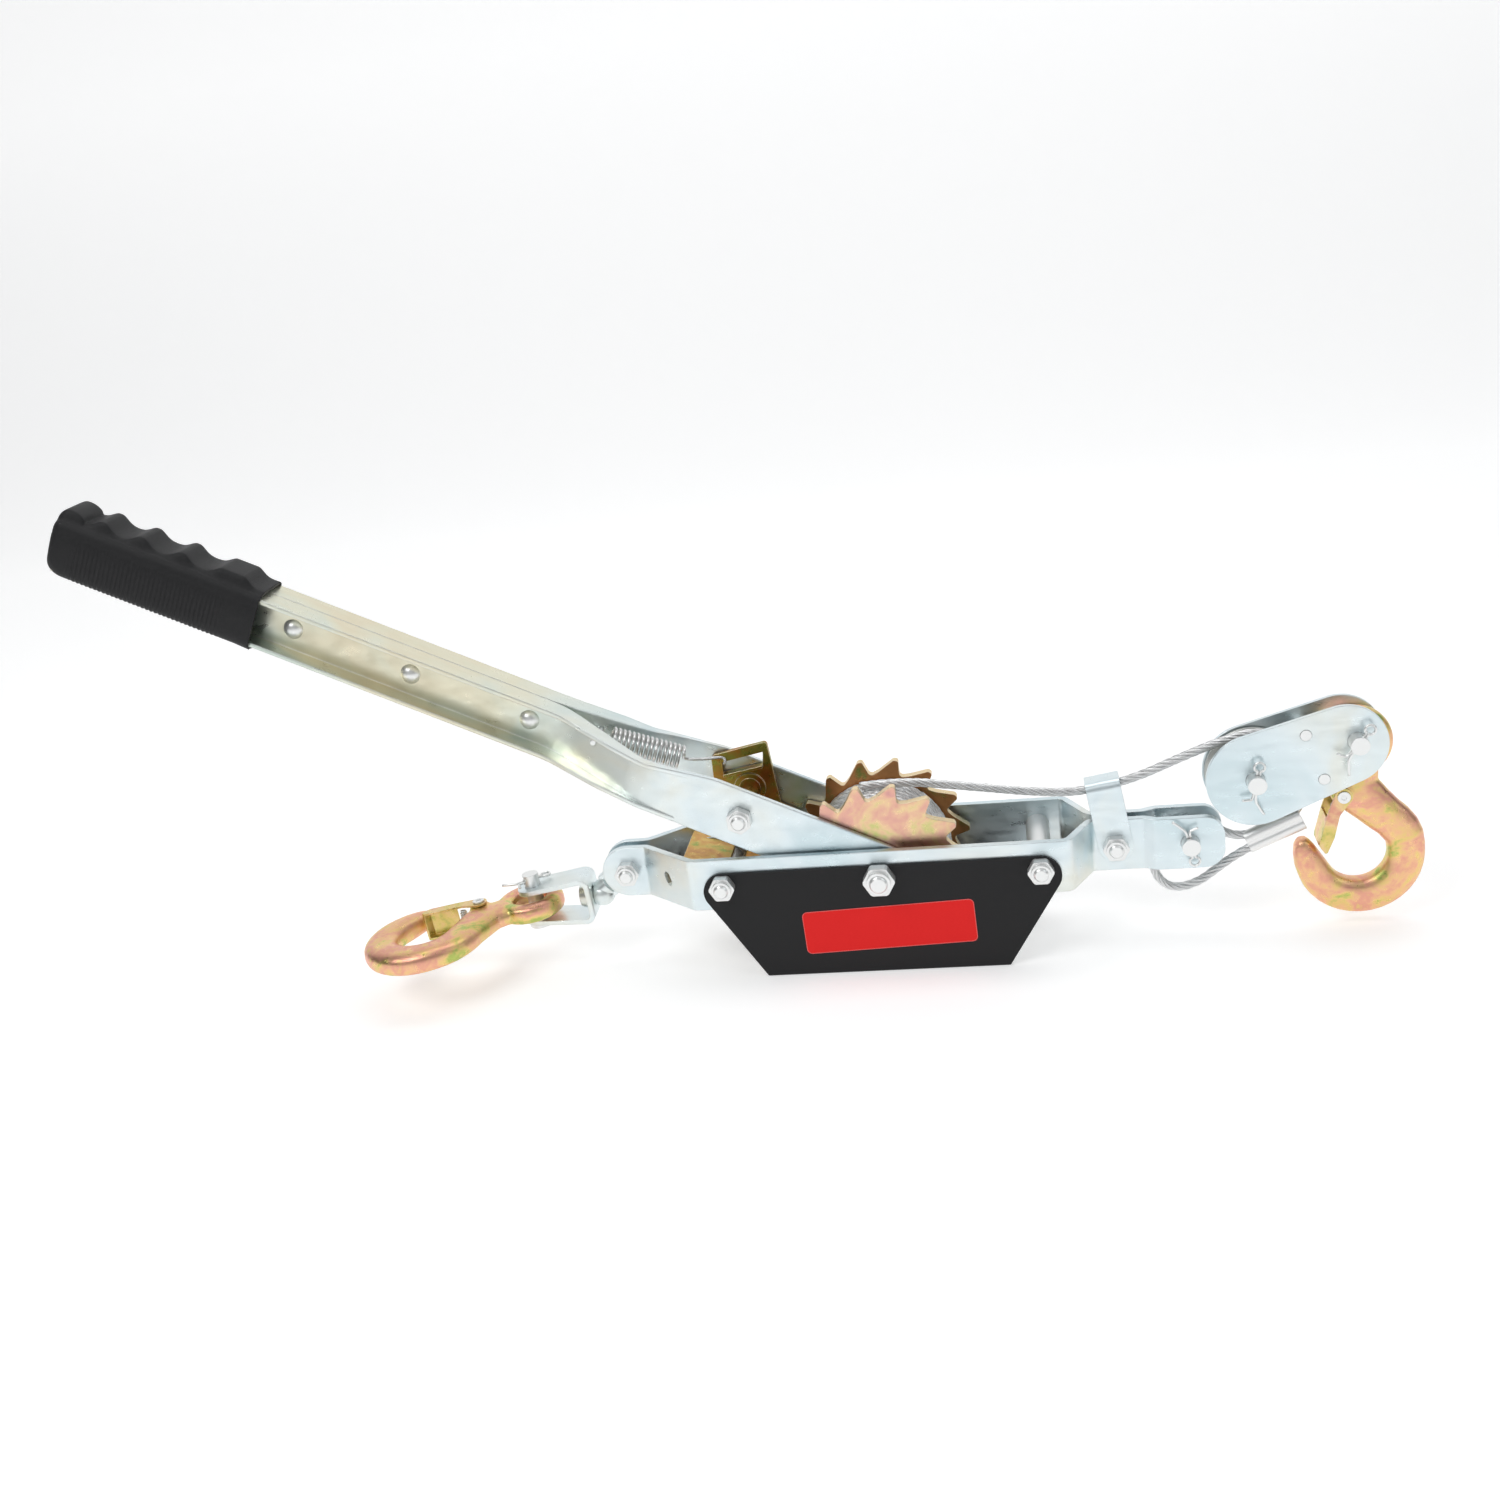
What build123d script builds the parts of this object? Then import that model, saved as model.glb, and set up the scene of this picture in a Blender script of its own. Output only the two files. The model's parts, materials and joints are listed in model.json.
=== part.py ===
from build123d import *
import math
import os

# Come along winch (hand cable puller).  Millimetres.  X runs from the anchor hook (-X) to the load hook (+X),
# Z is up, and the drum axle is parallel to Y.  The parts are drawn about the axle and lifted when exported,
# so that the origin of the exported parts is the centre of the guard's flat underside.

# ---- driving dimensions -------------------------------------------------------------------------------
AXLE_Z = 57.7            # height of the drum axle above the guard's underside
AXLE_R = 5.0             # M10 axle bolt
BOLT_R = 4.0             # M8 frame bolts
RUN = 0.06               # radial clearance of a turning fit
HOLE = 0.1               # radial clearance of a bolt hole

STRAP_IN, STRAP_T, STRAP_H = 28.0, 4.0, 15.0       # inner face, thickness and half height of the side straps
STRAP_END = 3.0                                    # inner face where the straps are pinched together
JOG_OUT, JOG_IN = -135.0, -104.5                   # ends of the straps' left jog
STRAP_BEND, SPLAY_BEND = 3.0, 60.0                 # inside radius of the jogs and of the handle's splay
CLEVIS_IN = 6.2                                    # inner face of the rope clevis
GUARD_BOLT_X = 88.0
ANCHOR_X = -147.6
CLIP_X = 129.8
CLEVIS_X = 169.8
CLEVIS_END = 188.5
GUARD_T = 1.8
SPACER_R, SLEEVE_R = 6.7, 5.6                        # tubes on the guard bolts, right and left
GUARD_IN = STRAP_IN + STRAP_T
GUARD_OUT = GUARD_IN + GUARD_T

TEETH = 15
TIP_R, ROOT_R = 50.0, 40.5
WHEEL_Y, WHEEL_T = 20.0, 5.0                       # mid plane and thickness of each ratchet wheel
HUB_R, BARREL_R, PACK_R = 9.0, 17.0, 39.3          # drum hub, bare barrel, outside of the wound rope

HANDLE_ANGLE = 26.6                                # above -X
ARM_IN, ARM_T, ARM_R = 23.4, 3.5, 16.5
WEB_IN, WEB_T = 0.3, 3.0
FLANGE_Y, FLANGE_T = 15.5, 2.5
CHANNEL_H = 14.5                                   # half the channel's height, across the handle
SPLAY_U0, SPLAY_U1 = 140.0, 197.0                  # where the two halves splay apart, along the handle
WAIST = (146.0, 10.5)                              # lowest place of the arm's top edge: along, across
HANDLE_END = 495.0
PAWL_U = 83.5                                      # drive pawl bolt, along the handle
CHEEK_OUT, CHEEK_T = 22.4, 3.0                     # pawl cheeks: outer face and thickness
PAWL_TUBE_R, PAWL_BOSS_R = 6.2, 9.2                # drive pawl's spacer tube and the boss on its far cheek
SPRING_PIN = (175.5, 5.0)                          # where the drive pawl's spring hooks on: along, across
SPRING_PIN_R = 1.6
RIVET_U = (214.6, 286.7, 357.5)
RIVET_R = 3.0
GRIP_START, GRIP_END = 376.0, 500.0
GRIP_H = 17.3
BUMP_U = (492.5, 473.0, 450.0, 426.0, 396.0)
BUMP_R, BUMP_TOP = 10.2, 23.0

ROPE_R = 2.5
SHEAVE = (205.0, 34.5)                             # sheave pin, from the axle
SHEAVE_ROPE_R = 23.5                               # sheave centre to the middle of the rope
BLOCK_ANGLE = 20.0
BLOCK_R0, BLOCK_R1, BLOCK_S1 = 26.0, 22.5, 49.5    # plate radii at the sheave and hook ends, hook end centre
BLOCK_IN, BLOCK_T = 7.5, 2.5
HOOK_PIN_S = 56.0
PIN_R = 5.0

HOOK_T, EYE_T = 14.0, 11.0
HOOK_BOWL = (68.0, -1.5, 16.0)                     # centre of the bowl and its radius, in the hook's own frame
LATCH_IN, LATCH_T = 7.4, 1.3
LATCH_RIVET_R, LATCH_SPRING_R = 1.9, 2.2
LATCH_P, LATCH_Q = 32.4, 6.6                       # latch rivet, from the hook's pin: along, to the tip side

BRACKET_TILT = 4.5                                 # below -X
WEB_AT = (-171.0, -16.0)                           # outer face of the anchor bracket's web
BRACKET_PIN = 36.5                                 # from that face to the bracket's pin
BRACKET_PIN_R = 4.8
HOOK_YAW = 28.0                                    # the anchor hook is swung this far towards -Y

# ---- frames of reference ------------------------------------------------------------------------------
def xz_direction(degrees):
    """Unit vector in the XZ plane, counted from +X towards +Z."""
    return Vector(math.cos(math.radians(degrees)), 0, math.sin(math.radians(degrees)))


HANDLE = Plane(origin=(0, 0, 0), x_dir=xz_direction(180 - HANDLE_ANGLE),
               z_dir=xz_direction(90 - HANDLE_ANGLE))
BLOCK = Plane(origin=(SHEAVE[0], 0, SHEAVE[1]), x_dir=xz_direction(BLOCK_ANGLE),
              z_dir=xz_direction(90 + BLOCK_ANGLE))
BRACKET = Plane(origin=(WEB_AT[0], 0, WEB_AT[1]), x_dir=xz_direction(180 + BRACKET_TILT),
                z_dir=xz_direction(90 + BRACKET_TILT))
HOOK_PIN = BLOCK.from_local_coords((HOOK_PIN_S, 0, 0))
LOAD_HOOK = Plane(origin=HOOK_PIN, x_dir=(0, 0, -1), z_dir=(0, 1, 0))
YAWED = BRACKET.x_dir * math.cos(math.radians(HOOK_YAW)) - Vector(0, 1, 0) * math.sin(math.radians(HOOK_YAW))
ANCHOR_HOOK = Plane(origin=BRACKET.from_local_coords((BRACKET_PIN, 0, 0)), x_dir=YAWED, z_dir=-BRACKET.z_dir)


# ---- shape helpers ------------------------------------------------------------------------------------
def rod(x, z, r, y0, y1):
    """Round bar parallel to Y."""
    return Pos(x, (y0 + y1) / 2, z) * Rot(90, 0, 0) * Cylinder(r, abs(y1 - y0))


def both(shape):
    """The shape and its mirror image in the XZ plane, as one."""
    return shape + mirror(shape, about=Plane.XZ)


# An outline is a closed list of stretches: a corner (x, z), a rounded corner (x, z, radius), or an arc, which
# is a list of its start, middle and end.
def polar(x, z, r, angle):
    """Point at an angle, in degrees, on a circle about (x, z)."""
    return (x + r * math.cos(math.radians(angle)), z + r * math.sin(math.radians(angle)))


def arc(x, z, r, a0, a1):
    """Round stretch of an outline about (x, z)."""
    return [polar(x, z, r, a) for a in (a0, (a0 + a1) / 2, a1)]


def rounded(before, corner, after):
    """The arc that rounds a corner (x, z, radius) between its neighbours."""
    x, z, radius = corner
    to_before = Vector(before[0] - x, before[1] - z).normalized()
    to_after = Vector(after[0] - x, after[1] - z).normalized()
    half = math.radians(to_before.get_angle(to_after)) / 2
    run = radius / math.tan(half)
    inward = (to_before + to_after).normalized() * (radius / math.sin(half) - radius)
    return [(x + step.X, z + step.Y) for step in (to_before * run, inward, to_after * run)]


def outline(stretches, place):
    """Flat face inside the stretches; place puts a flat point into space."""
    firsts = [s[0] if isinstance(s, list) else s for s in stretches]
    lasts = [s[-1] if isinstance(s, list) else s for s in stretches]
    runs = []
    for i, stretch in enumerate(stretches):
        if isinstance(stretch, tuple):
            after = firsts[(i + 1) % len(firsts)]
            stretch = rounded(lasts[i - 1], stretch, after) if len(stretch) == 3 else [stretch]
        runs.append([place(*point) for point in stretch])
    edges = []
    for before, run in zip(runs[-1:] + runs[:-1], runs):
        if (run[0] - before[-1]).length > 1e-6:
            edges.append(Edge.make_line(before[-1], run[0]))
        if len(run) == 3:
            edges.append(Edge.make_three_point_arc(*run))
    return Face(Wire(edges))


def prism_y(stretches, y0, y1):
    """Outline in the XZ plane, pulled out from y0 to y1."""
    return extrude(outline(stretches, lambda x, z: Vector(x, y0, z)), amount=y1 - y0, dir=(0, 1, 0))


def prism_z(stretches, z0, z1):
    """Outline in the XY plane, pulled up from z0 to z1."""
    return extrude(outline(stretches, lambda x, y: Vector(x, y, z0)), amount=z1 - z0, dir=(0, 0, 1))


def normal_of(a, b):
    """Unit normal to the left of the line from a to b."""
    dx, dy = b[0] - a[0], b[1] - a[1]
    length = math.hypot(dx, dy)
    return (-dy / length, dx / length)


def strip(points, thickness, bend):
    """Outline of a bent strip to the left of the points; bend is the inside radius of its corners."""
    base, moved = [points[0]], []
    normals = [normal_of(a, b) for a, b in zip(points, points[1:])]
    moved.append((points[0][0] + normals[0][0] * thickness, points[0][1] + normals[0][1] * thickness))
    for (x, y), n0, n1 in zip(points[1:], normals, normals[1:]):
        left_turn = n0[0] * n1[1] - n0[1] * n1[0] > 0
        stretch = thickness / (1 + n0[0] * n1[0] + n0[1] * n1[1])
        base.append((x, y, bend + thickness if left_turn else bend))
        moved.append((x + (n0[0] + n1[0]) * stretch, y + (n0[1] + n1[1]) * stretch,
                      bend if left_turn else bend + thickness))
    base.append(points[-1])
    moved.append((points[-1][0] + normals[-1][0] * thickness, points[-1][1] + normals[-1][1] * thickness))
    return base + moved[::-1]


def hull_of_circles(x0, r0, x1, r1, y0, y1):
    """Tapered stadium in local XZ: two circles on the local X axis and their tangents."""
    lean = math.degrees(math.asin((r0 - r1) / (x1 - x0)))
    return prism_y([arc(x0, 0, r0, 90 - lean, 270 + lean), arc(x1, 0, r1, lean - 90, 90 - lean)], y0, y1)


def hexagon_y(x, z, flats, y0, y1):
    """Hexagonal prism parallel to Y with its outer corners turned off."""
    corner = flats / math.sqrt(3)
    body = prism_y([polar(x, z, corner, 60 * i) for i in range(6)], y0, y1)
    return body & rod(x, z, corner * 0.955, y0, y1)


def nut(x, z, r, flats, y_seat, height):
    """Lock nut seated at y_seat, standing out towards -Y, with a round collar."""
    body = hexagon_y(x, z, flats, y_seat - height * 0.72, y_seat)
    body += rod(x, z, flats * 0.42, y_seat - height, y_seat - height * 0.7)
    return body - rod(x, z, r + RUN, y_seat - height - 1, y_seat + 1)


def bolt(x, z, r, flats, y_seat, head, y_tip):
    """Hex bolt seated at y_seat on the +Y side, its tip at y_tip."""
    tip = Pos(x, y_tip + 0.5, z) * Rot(90, 0, 0) * Cone(r, r - 0.9, 1.0)
    return hexagon_y(x, z, flats, y_seat, y_seat + head) + rod(x, z, r, y_tip + 1.0, y_seat + 0.1) + tip


def split_pin(r, reach, grip):
    """Split pin along local X: an eye, two legs side by side, their ends bent apart."""
    eye = Pos(-grip / 2 - 4.4, 0, 0) * (Rot(90, 0, 0) * Torus(2.6, r))
    legs = Pos(reach / 2, 0, 0) * (Rot(0, 90, 0) * Cylinder(r, grip + reach + 3.0))
    bent = Pos(grip / 2 + reach + 2.6, 0, 0) * Rot(0, 35, 0) * Box(6.5, 2 * r, r)
    return eye + legs + bent


def save(shape, node, plane=None):
    """Lift the shape from the axle's frame to the object's and write it."""
    placed = shape if plane is None else plane.location * shape
    export_step(Pos(0, 0, AXLE_Z) * placed, f"parts/{node}.step")


# ---- frame: straps, guard and their bolts -------------------------------------------------------------
def back_strap():
    inner = [(-164, STRAP_END), (JOG_OUT, STRAP_END), (JOG_IN, STRAP_IN), (102.0, STRAP_IN),
             (115.0, STRAP_END), (146.0, STRAP_END), (152.5, CLEVIS_IN), (CLEVIS_END + 1, CLEVIS_IN)]
    body = prism_z(strip(inner, STRAP_T, STRAP_BEND), -STRAP_H - 2, STRAP_H + 2)
    corner = 11.0
    ends = [arc(ANCHOR_X, 0, STRAP_H, 90, 270), (CLEVIS_END, -STRAP_H, corner), (CLEVIS_END, STRAP_H, corner)]
    body &= prism_y(ends, 0, STRAP_IN + STRAP_T + 5)
    holes = [(0, AXLE_R + HOLE), (-GUARD_BOLT_X, BOLT_R + HOLE), (GUARD_BOLT_X, BOLT_R + HOLE),
             (ANCHOR_X, BOLT_R + HOLE), (CLIP_X, BOLT_R + HOLE), (CLEVIS_X, PIN_R + HOLE)]
    for x, r in holes:
        body -= rod(x, 0, r, 0, STRAP_IN + STRAP_T + 5)
    return body


def jog_slot():
    """Slanted slot through the front strap's left jog."""
    jog_angle = math.degrees(math.atan2(STRAP_END - STRAP_IN, JOG_IN - JOG_OUT))
    slot = Rot(0, 66, 0) * (Rot(90, 0, 0) * extrude(SlotOverall(8.5, 4.6), amount=10, both=True))
    return Pos(-120.5, -(STRAP_IN + STRAP_END + STRAP_T) / 2, 0) * Rot(0, 0, jog_angle) * slot


def guard():
    corner_x, slope_x = GUARD_BOLT_X, 68.0
    edge = [arc(corner_x, -4, 11.3, -28, 90), arc(-corner_x, -4, 11.3, 90, 208), (-slope_x, -AXLE_Z),
            (slope_x, -AXLE_Z)]
    cheek = prism_y(edge, GUARD_IN, GUARD_OUT)
    for x, r in ((0, AXLE_R), (-corner_x, BOLT_R), (corner_x, BOLT_R)):
        cheek -= rod(x, 0, r + HOLE, GUARD_IN - 1, GUARD_OUT + 1)
    floor = Pos(0, 0, -AXLE_Z + GUARD_T / 2) * Box(2 * slope_x, 2 * GUARD_OUT - 0.2, GUARD_T)
    body = both(cheek) + floor
    long_edges = [e for e in body.edges().filter_by(Axis.X)
                  if e.length > 100 and abs(e.center().Z + AXLE_Z) < 0.05]
    return chamfer(long_edges, 0.8) if long_edges else body


def guard_label():
    plate = Rot(0, -2.0, 0) * (Rot(90, 0, 0) * extrude(RectangleRounded(96.0, 26.0, 3.0), amount=0.25))
    return Pos(3.0, -GUARD_OUT - 0.01, -30.0) * plate


def strap_and_guard_parts():
    strap = back_strap()
    save(strap, "back_strap")
    save(mirror(strap, about=Plane.XZ) - jog_slot(), "front_strap")
    save(guard(), "guard")
    save(guard_label(), "guard_label")
    save(bolt(0, 0, AXLE_R, 16, GUARD_OUT, 6.4, -GUARD_OUT - 10.5), "axle_bolt")
    save(nut(0, 0, AXLE_R, 16, -GUARD_OUT, 9.0), "axle_nut")
    for side, name in ((-1, "left"), (1, "right")):
        x = side * GUARD_BOLT_X
        save(bolt(x, 0, BOLT_R, 13, GUARD_OUT, 5.3, -GUARD_OUT - 8.8), name + "_guard_bolt")
        save(nut(x, 0, BOLT_R, 13, -GUARD_OUT, 7.6), name + "_guard_nut")
    spacer = rod(GUARD_BOLT_X, 0, SPACER_R, -STRAP_IN + 0.05, STRAP_IN - 0.05)
    save(spacer - rod(GUARD_BOLT_X, 0, BOLT_R + HOLE, -STRAP_IN, STRAP_IN), "right_spacer_tube")
    sleeve = rod(-GUARD_BOLT_X, 0, SLEEVE_R, -STRAP_IN + 0.05, STRAP_IN - 0.05)
    save(sleeve - rod(-GUARD_BOLT_X, 0, BOLT_R + HOLE, -STRAP_IN, STRAP_IN), "holding_pawl_sleeve")
    seat = STRAP_END + STRAP_T
    save(bolt(ANCHOR_X, 0, BOLT_R, 13, seat, 5.3, -seat - 8.8), "anchor_bolt")
    save(nut(ANCHOR_X, 0, BOLT_R, 13, -seat, 7.4), "anchor_nut")
    clip_seat = seat + 2.0
    save(bolt(CLIP_X, 0, BOLT_R, 13, clip_seat, 5.3, -clip_seat - 8.4), "clip_bolt")
    save(nut(CLIP_X, 0, BOLT_R, 13, -clip_seat, 7.2), "clip_nut")
    face = CLEVIS_IN + STRAP_T
    pin = rod(CLEVIS_X, 0, PIN_R, -face - 7.0, face) + rod(CLEVIS_X, 0, PIN_R + 2.6, face, face + 3.0)
    cross = rod(0, 0, 1.7, -9, 9)
    pin -= Pos(CLEVIS_X, -face - 3.6, 0) * Rot(0, 259, 0) * (Rot(0, 0, 90) * cross)
    save(pin, "clevis_pin")
    cotter = Pos(CLEVIS_X, -face - 3.6, 0) * Rot(0, 259, 0) * split_pin(1.5, 1.5, 2 * PIN_R)
    save(cotter, "clevis_cotter")


# ---- rope clip over the frame's pinched end -----------------------------------------------------------
def rope_clip():
    width, inner, sheet, top = 19.0, STRAP_END + STRAP_T + 0.05, 1.9, 38.3
    side = [arc(0, 0, width / 2, 180, 360), (width / 2, top), (-width / 2, top)]
    body = prism_y(side, -inner - sheet, inner + sheet)
    outer_edges = [e for e in body.edges().filter_by(Axis.X) if e.center().Z > top - 1]
    body = fillet(outer_edges, 4.5)
    gap = Pos(0, 0, (top - sheet) / 2 - 8) * Box(width + 2, 2 * inner, top - sheet + 16)
    inner_edges = [e for e in gap.edges().filter_by(Axis.X) if e.center().Z > 10]
    body -= fillet(inner_edges, 3.0)
    body -= rod(0, 0, BOLT_R + HOLE, -20, 20)
    return Pos(CLIP_X, 0, 0) * Rot(0, -8.7, 0) * body


# ---- drum, ratchet wheels and wound rope --------------------------------------------------------------
def ratchet_wheel(y_mid):
    """Each tooth has a steep face, a rounded tip and a long sloping back; angles are from the tooth's root."""
    pitch = 360.0 / TEETH
    corners = ((ROOT_R, 0.4, 2.2), (TIP_R, 3.9, 1.5), (TIP_R, 7.0, 1.8), (ROOT_R + 2.2, 17.3, 10.0))
    edge = []
    for i in range(TEETH):
        edge += [polar(0, 0, r, i * pitch + angle) + (round_r,) for r, angle, round_r in corners]
    half = WHEEL_T / 2
    wheel = prism_y(edge, y_mid - half, y_mid + half)
    return wheel - rod(0, 0, HUB_R + 0.02, y_mid - half - 1, y_mid + half + 1)


def drum_parts():
    save(ratchet_wheel(-WHEEL_Y), "front_ratchet_wheel")
    save(ratchet_wheel(WHEEL_Y), "back_ratchet_wheel")
    face = WHEEL_Y - WHEEL_T / 2
    core = rod(0, 0, BARREL_R, -face + 0.02, face - 0.02) + rod(0, 0, HUB_R, -face - WHEEL_T, face + WHEEL_T)
    save(core - rod(0, 0, AXLE_R + RUN, -30, 30), "drum")
    pack = rod(0, 0, PACK_R, -face + 0.2, face - 0.2)
    save(pack - rod(0, 0, BARREL_R + 0.02, -30, 30), "wound_rope")


# ---- handle -------------------------------------------------------------------------------------------
def handle_half():
    """The half on local +Y (the object's -Y side): bored arm, splay and channel, in one pressing."""
    arm_out = ARM_IN + WEB_T
    channel_out = WEB_IN + WEB_T
    fold = strip([(-ARM_R - 1, ARM_IN), (SPLAY_U0, ARM_IN), (SPLAY_U1, WEB_IN), (HANDLE_END, WEB_IN)], WEB_T,
                 SPLAY_BEND)
    web = prism_z(fold, -40, 40)
    lips = [(HANDLE_END, channel_out), (SPLAY_U1, channel_out - 1.0), (SPLAY_U0, arm_out - 1.0),
            (118.0, arm_out - 1.0), (118.0, arm_out + 0.3), (SPLAY_U0, arm_out + 1.5, 20.0),
            (165.0, arm_out - 2.0, 40.0), (SPLAY_U1, FLANGE_Y, SPLAY_BEND), (HANDLE_END, FLANGE_Y)]
    outer = [arc(0, 0, ARM_R, 90, 270), (112.0, -ARM_R), (SPLAY_U1, -CHANNEL_H, SPLAY_BEND),
             (HANDLE_END, -CHANNEL_H), (HANDLE_END, CHANNEL_H), (SPLAY_U1, CHANNEL_H, SPLAY_BEND),
             WAIST + (50.0,), (104.0, ARM_R, 50.0)]
    low, high, past = FLANGE_T - CHANNEL_H, CHANNEL_H - FLANGE_T, HANDLE_END + 9
    inner = [(100.0, FLANGE_T - ARM_R), (112.0, FLANGE_T - ARM_R), (SPLAY_U1, low, SPLAY_BEND), (past, low),
             (past, high), (SPLAY_U1, high, SPLAY_BEND), (WAIST[0], WAIST[1] - FLANGE_T, 50.0),
             (100.0, ARM_R - FLANGE_T)]
    body = (web + (prism_z(lips, -40, 40) - prism_y(inner, -1, 41))) & prism_y(outer, 0, 40)
    body -= rod(0, 0, AXLE_R + RUN, 0, 60)
    body -= rod(PAWL_U, 0, BOLT_R + HOLE, 0, 60)
    body -= rod(SPRING_PIN[0], SPRING_PIN[1], SPRING_PIN_R + HOLE, 0, 60)
    for u in RIVET_U:
        body -= rod(u, 0, RIVET_R + HOLE, 0, 20)
    return body


def handle_rivet(u):
    face = WEB_IN + WEB_T
    shank = rod(u, 0, RIVET_R, -face - 0.5, face + 0.5)
    dome = Pos(u, face - 3.2, 0) * Sphere(6.6)
    dome &= rod(u, 0, 7, face, face + 8)
    return shank + both(dome)


def grip():
    """Rubber sleeve over the channel's end, with a row of finger bumps along the top."""
    length = GRIP_END - GRIP_START
    core = fillet(Box(length, 2 * GRIP_H, 2 * GRIP_H).edges().filter_by(Axis.X), 6.0)
    core = fillet(core.faces().sort_by(Axis.X)[-1].edges(), 5.0)
    body = Pos((GRIP_START + GRIP_END) / 2, 0, 0) * core
    for u in BUMP_U:
        bump = rod(u, BUMP_TOP - BUMP_R, BUMP_R, -13.5, 13.5)
        body += fillet(bump.edges(), 3.0)
    fit = 0.1
    socket = Box(HANDLE_END - GRIP_START + 10, 2 * (FLANGE_Y + fit), 2 * (CHANNEL_H + fit))
    body -= Pos((GRIP_START + HANDLE_END) / 2 - 5 + fit, 0, 0) * socket
    return body & Pos((GRIP_START + GRIP_END) / 2, 0, 0) * Box(length, 60, 60)


def drive_pawl():
    """U-shaped pressing on the handle's pawl bolt, in the handle's local frame, just clear of the teeth."""
    out, thick = CHEEK_OUT, CHEEK_T
    top, bottom, tail, toe = (51.2, -3.0), (52.4, -9.5), (60.0, -12.0), (63.3, -2.4)
    heel = [top, bottom, tail, arc(PAWL_U, 0, 13.5, 235, 330)]
    far = [(111.4, 9.7, 3.0), (84.7, 30.3, 2.0), toe] + heel + [(104.3, -4.8, 2.0)]
    window = prism_y([(104.0, 8.4), (84.4, 23.6), (81.8, 16.6), (100.9, 2.4)], -30, -10)
    near = [arc(PAWL_U, 0, 15.0, -30, 150), toe] + heel
    claw = prism_y([top, bottom, tail, toe], -out, out)
    ledge = prism_y([(100.9, 2.4), (81.8, 16.6), (81.2, 15.0), (100.0, 1.2)], -out + 1.0, -out + 6.0)
    tube = rod(PAWL_U, 0, PAWL_TUBE_R, -out + 1, out - 1)
    boss = rod(PAWL_U, 0, PAWL_BOSS_R, -out + 1, -out + thick + 1.2)
    body = prism_y(far, -out, -out + thick) - window + prism_y(near, out - thick, out)
    body += claw + ledge + tube + boss
    return body - rod(PAWL_U, 0, BOLT_R + RUN, -30, 30)


def handle_parts():
    half = handle_half()
    save(half, "front_handle_half", HANDLE)
    save(mirror(half, about=Plane.XZ), "back_handle_half", HANDLE)
    for i, u in enumerate(RIVET_U):
        save(handle_rivet(u), f"handle_rivet_{i + 1}", HANDLE)
    save(grip(), "grip", HANDLE)
    seat = ARM_IN + ARM_T
    pawl_bolt = mirror(bolt(PAWL_U, 0, BOLT_R, 13, seat, 5.3, -seat - 8.6), about=Plane.XZ)
    save(pawl_bolt, "pawl_bolt", HANDLE)
    pawl_nut = mirror(nut(PAWL_U, 0, BOLT_R, 13, -seat, 7.4), about=Plane.XZ)
    save(pawl_nut, "pawl_nut", HANDLE)
    save(drive_pawl(), "drive_pawl", HANDLE)


# ---- drive pawl spring, between the handle halves ------------------------------------------------------
SPRING_A = Vector(167.5, -1.2, 5.2)
SPRING_B = Vector(126.6, -9.0, 6.6)
SPRING_EYE = Vector(104.6, -18.4, 9.6)


def straight_rod(a, b, r):
    """Round bar from a to b."""
    line = b - a
    return Plane(origin=(a + b) / 2, z_dir=line).location * Cylinder(r, line.length)


def spring_parts():
    coil = straight_rod(SPRING_A, SPRING_B, 7.2) - straight_rod(SPRING_A, SPRING_B, 5.0)
    step = (SPRING_A - SPRING_B) * 0.03
    cap = straight_rod(SPRING_B, SPRING_B + step, 6.0) + straight_rod(SPRING_A, SPRING_A - step, 6.0)
    tail = straight_rod(SPRING_B + step * 0.5, SPRING_EYE, 0.8)
    hook_end = Vector(SPRING_PIN[0] - SPRING_PIN_R - 0.3, -0.5, SPRING_PIN[1])
    tail += straight_rod(SPRING_A - step * 0.5, hook_end, 0.8)
    save(coil + cap + tail, "drive_pawl_spring", HANDLE)
    reach = WEB_IN + (ARM_IN - WEB_IN) * (SPLAY_U1 - SPRING_PIN[0]) / (SPLAY_U1 - SPLAY_U0) + WEB_T + 1.0
    save(rod(SPRING_PIN[0], SPRING_PIN[1], SPRING_PIN_R, -reach, reach), "spring_anchor", HANDLE)


# ---- holding pawl --------------------------------------------------------------------------------------
def holding_pawl():
    """U-shaped pressing on the left guard bolt; its claw lies just below the ratchet teeth."""
    out, thick = CHEEK_OUT, CHEEK_T
    claw = [(-51.4, -9.0), (-53.4, -15.8), (-62.0, -12.6), (-61.0, -8.2)]
    cheek = [arc(-GUARD_BOLT_X, 0, 11.0, 20, 110), (-111.0, 13.0, 2.0), (-109.5, 3.5)]
    cheek += [arc(-GUARD_BOLT_X, 0, 11.0, 200, 300)] + claw[1::-1] + [(-62.0, -2.5)]
    plate = prism_y(cheek, out - thick, out)
    lip = [(-111.0, 13.0), (-110.2, 9.0), (-93.0, 8.0), (-84.5, 8.3), (-84.3, 10.4), (-93.0, 11.4)]
    body = both(plate) + prism_y(claw, -out, out) + prism_y(lip, -out + 1, out - 1)
    return body - rod(-GUARD_BOLT_X, 0, SLEEVE_R + RUN, -30, 30)


def holding_pawl_parts():
    save(holding_pawl(), "holding_pawl")
    coil = rod(-GUARD_BOLT_X, 0, SLEEVE_R + 1.8, 8.0, 17.0) - rod(-GUARD_BOLT_X, 0, SLEEVE_R + 0.3, 7, 18)
    save(coil, "holding_pawl_spring")


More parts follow.
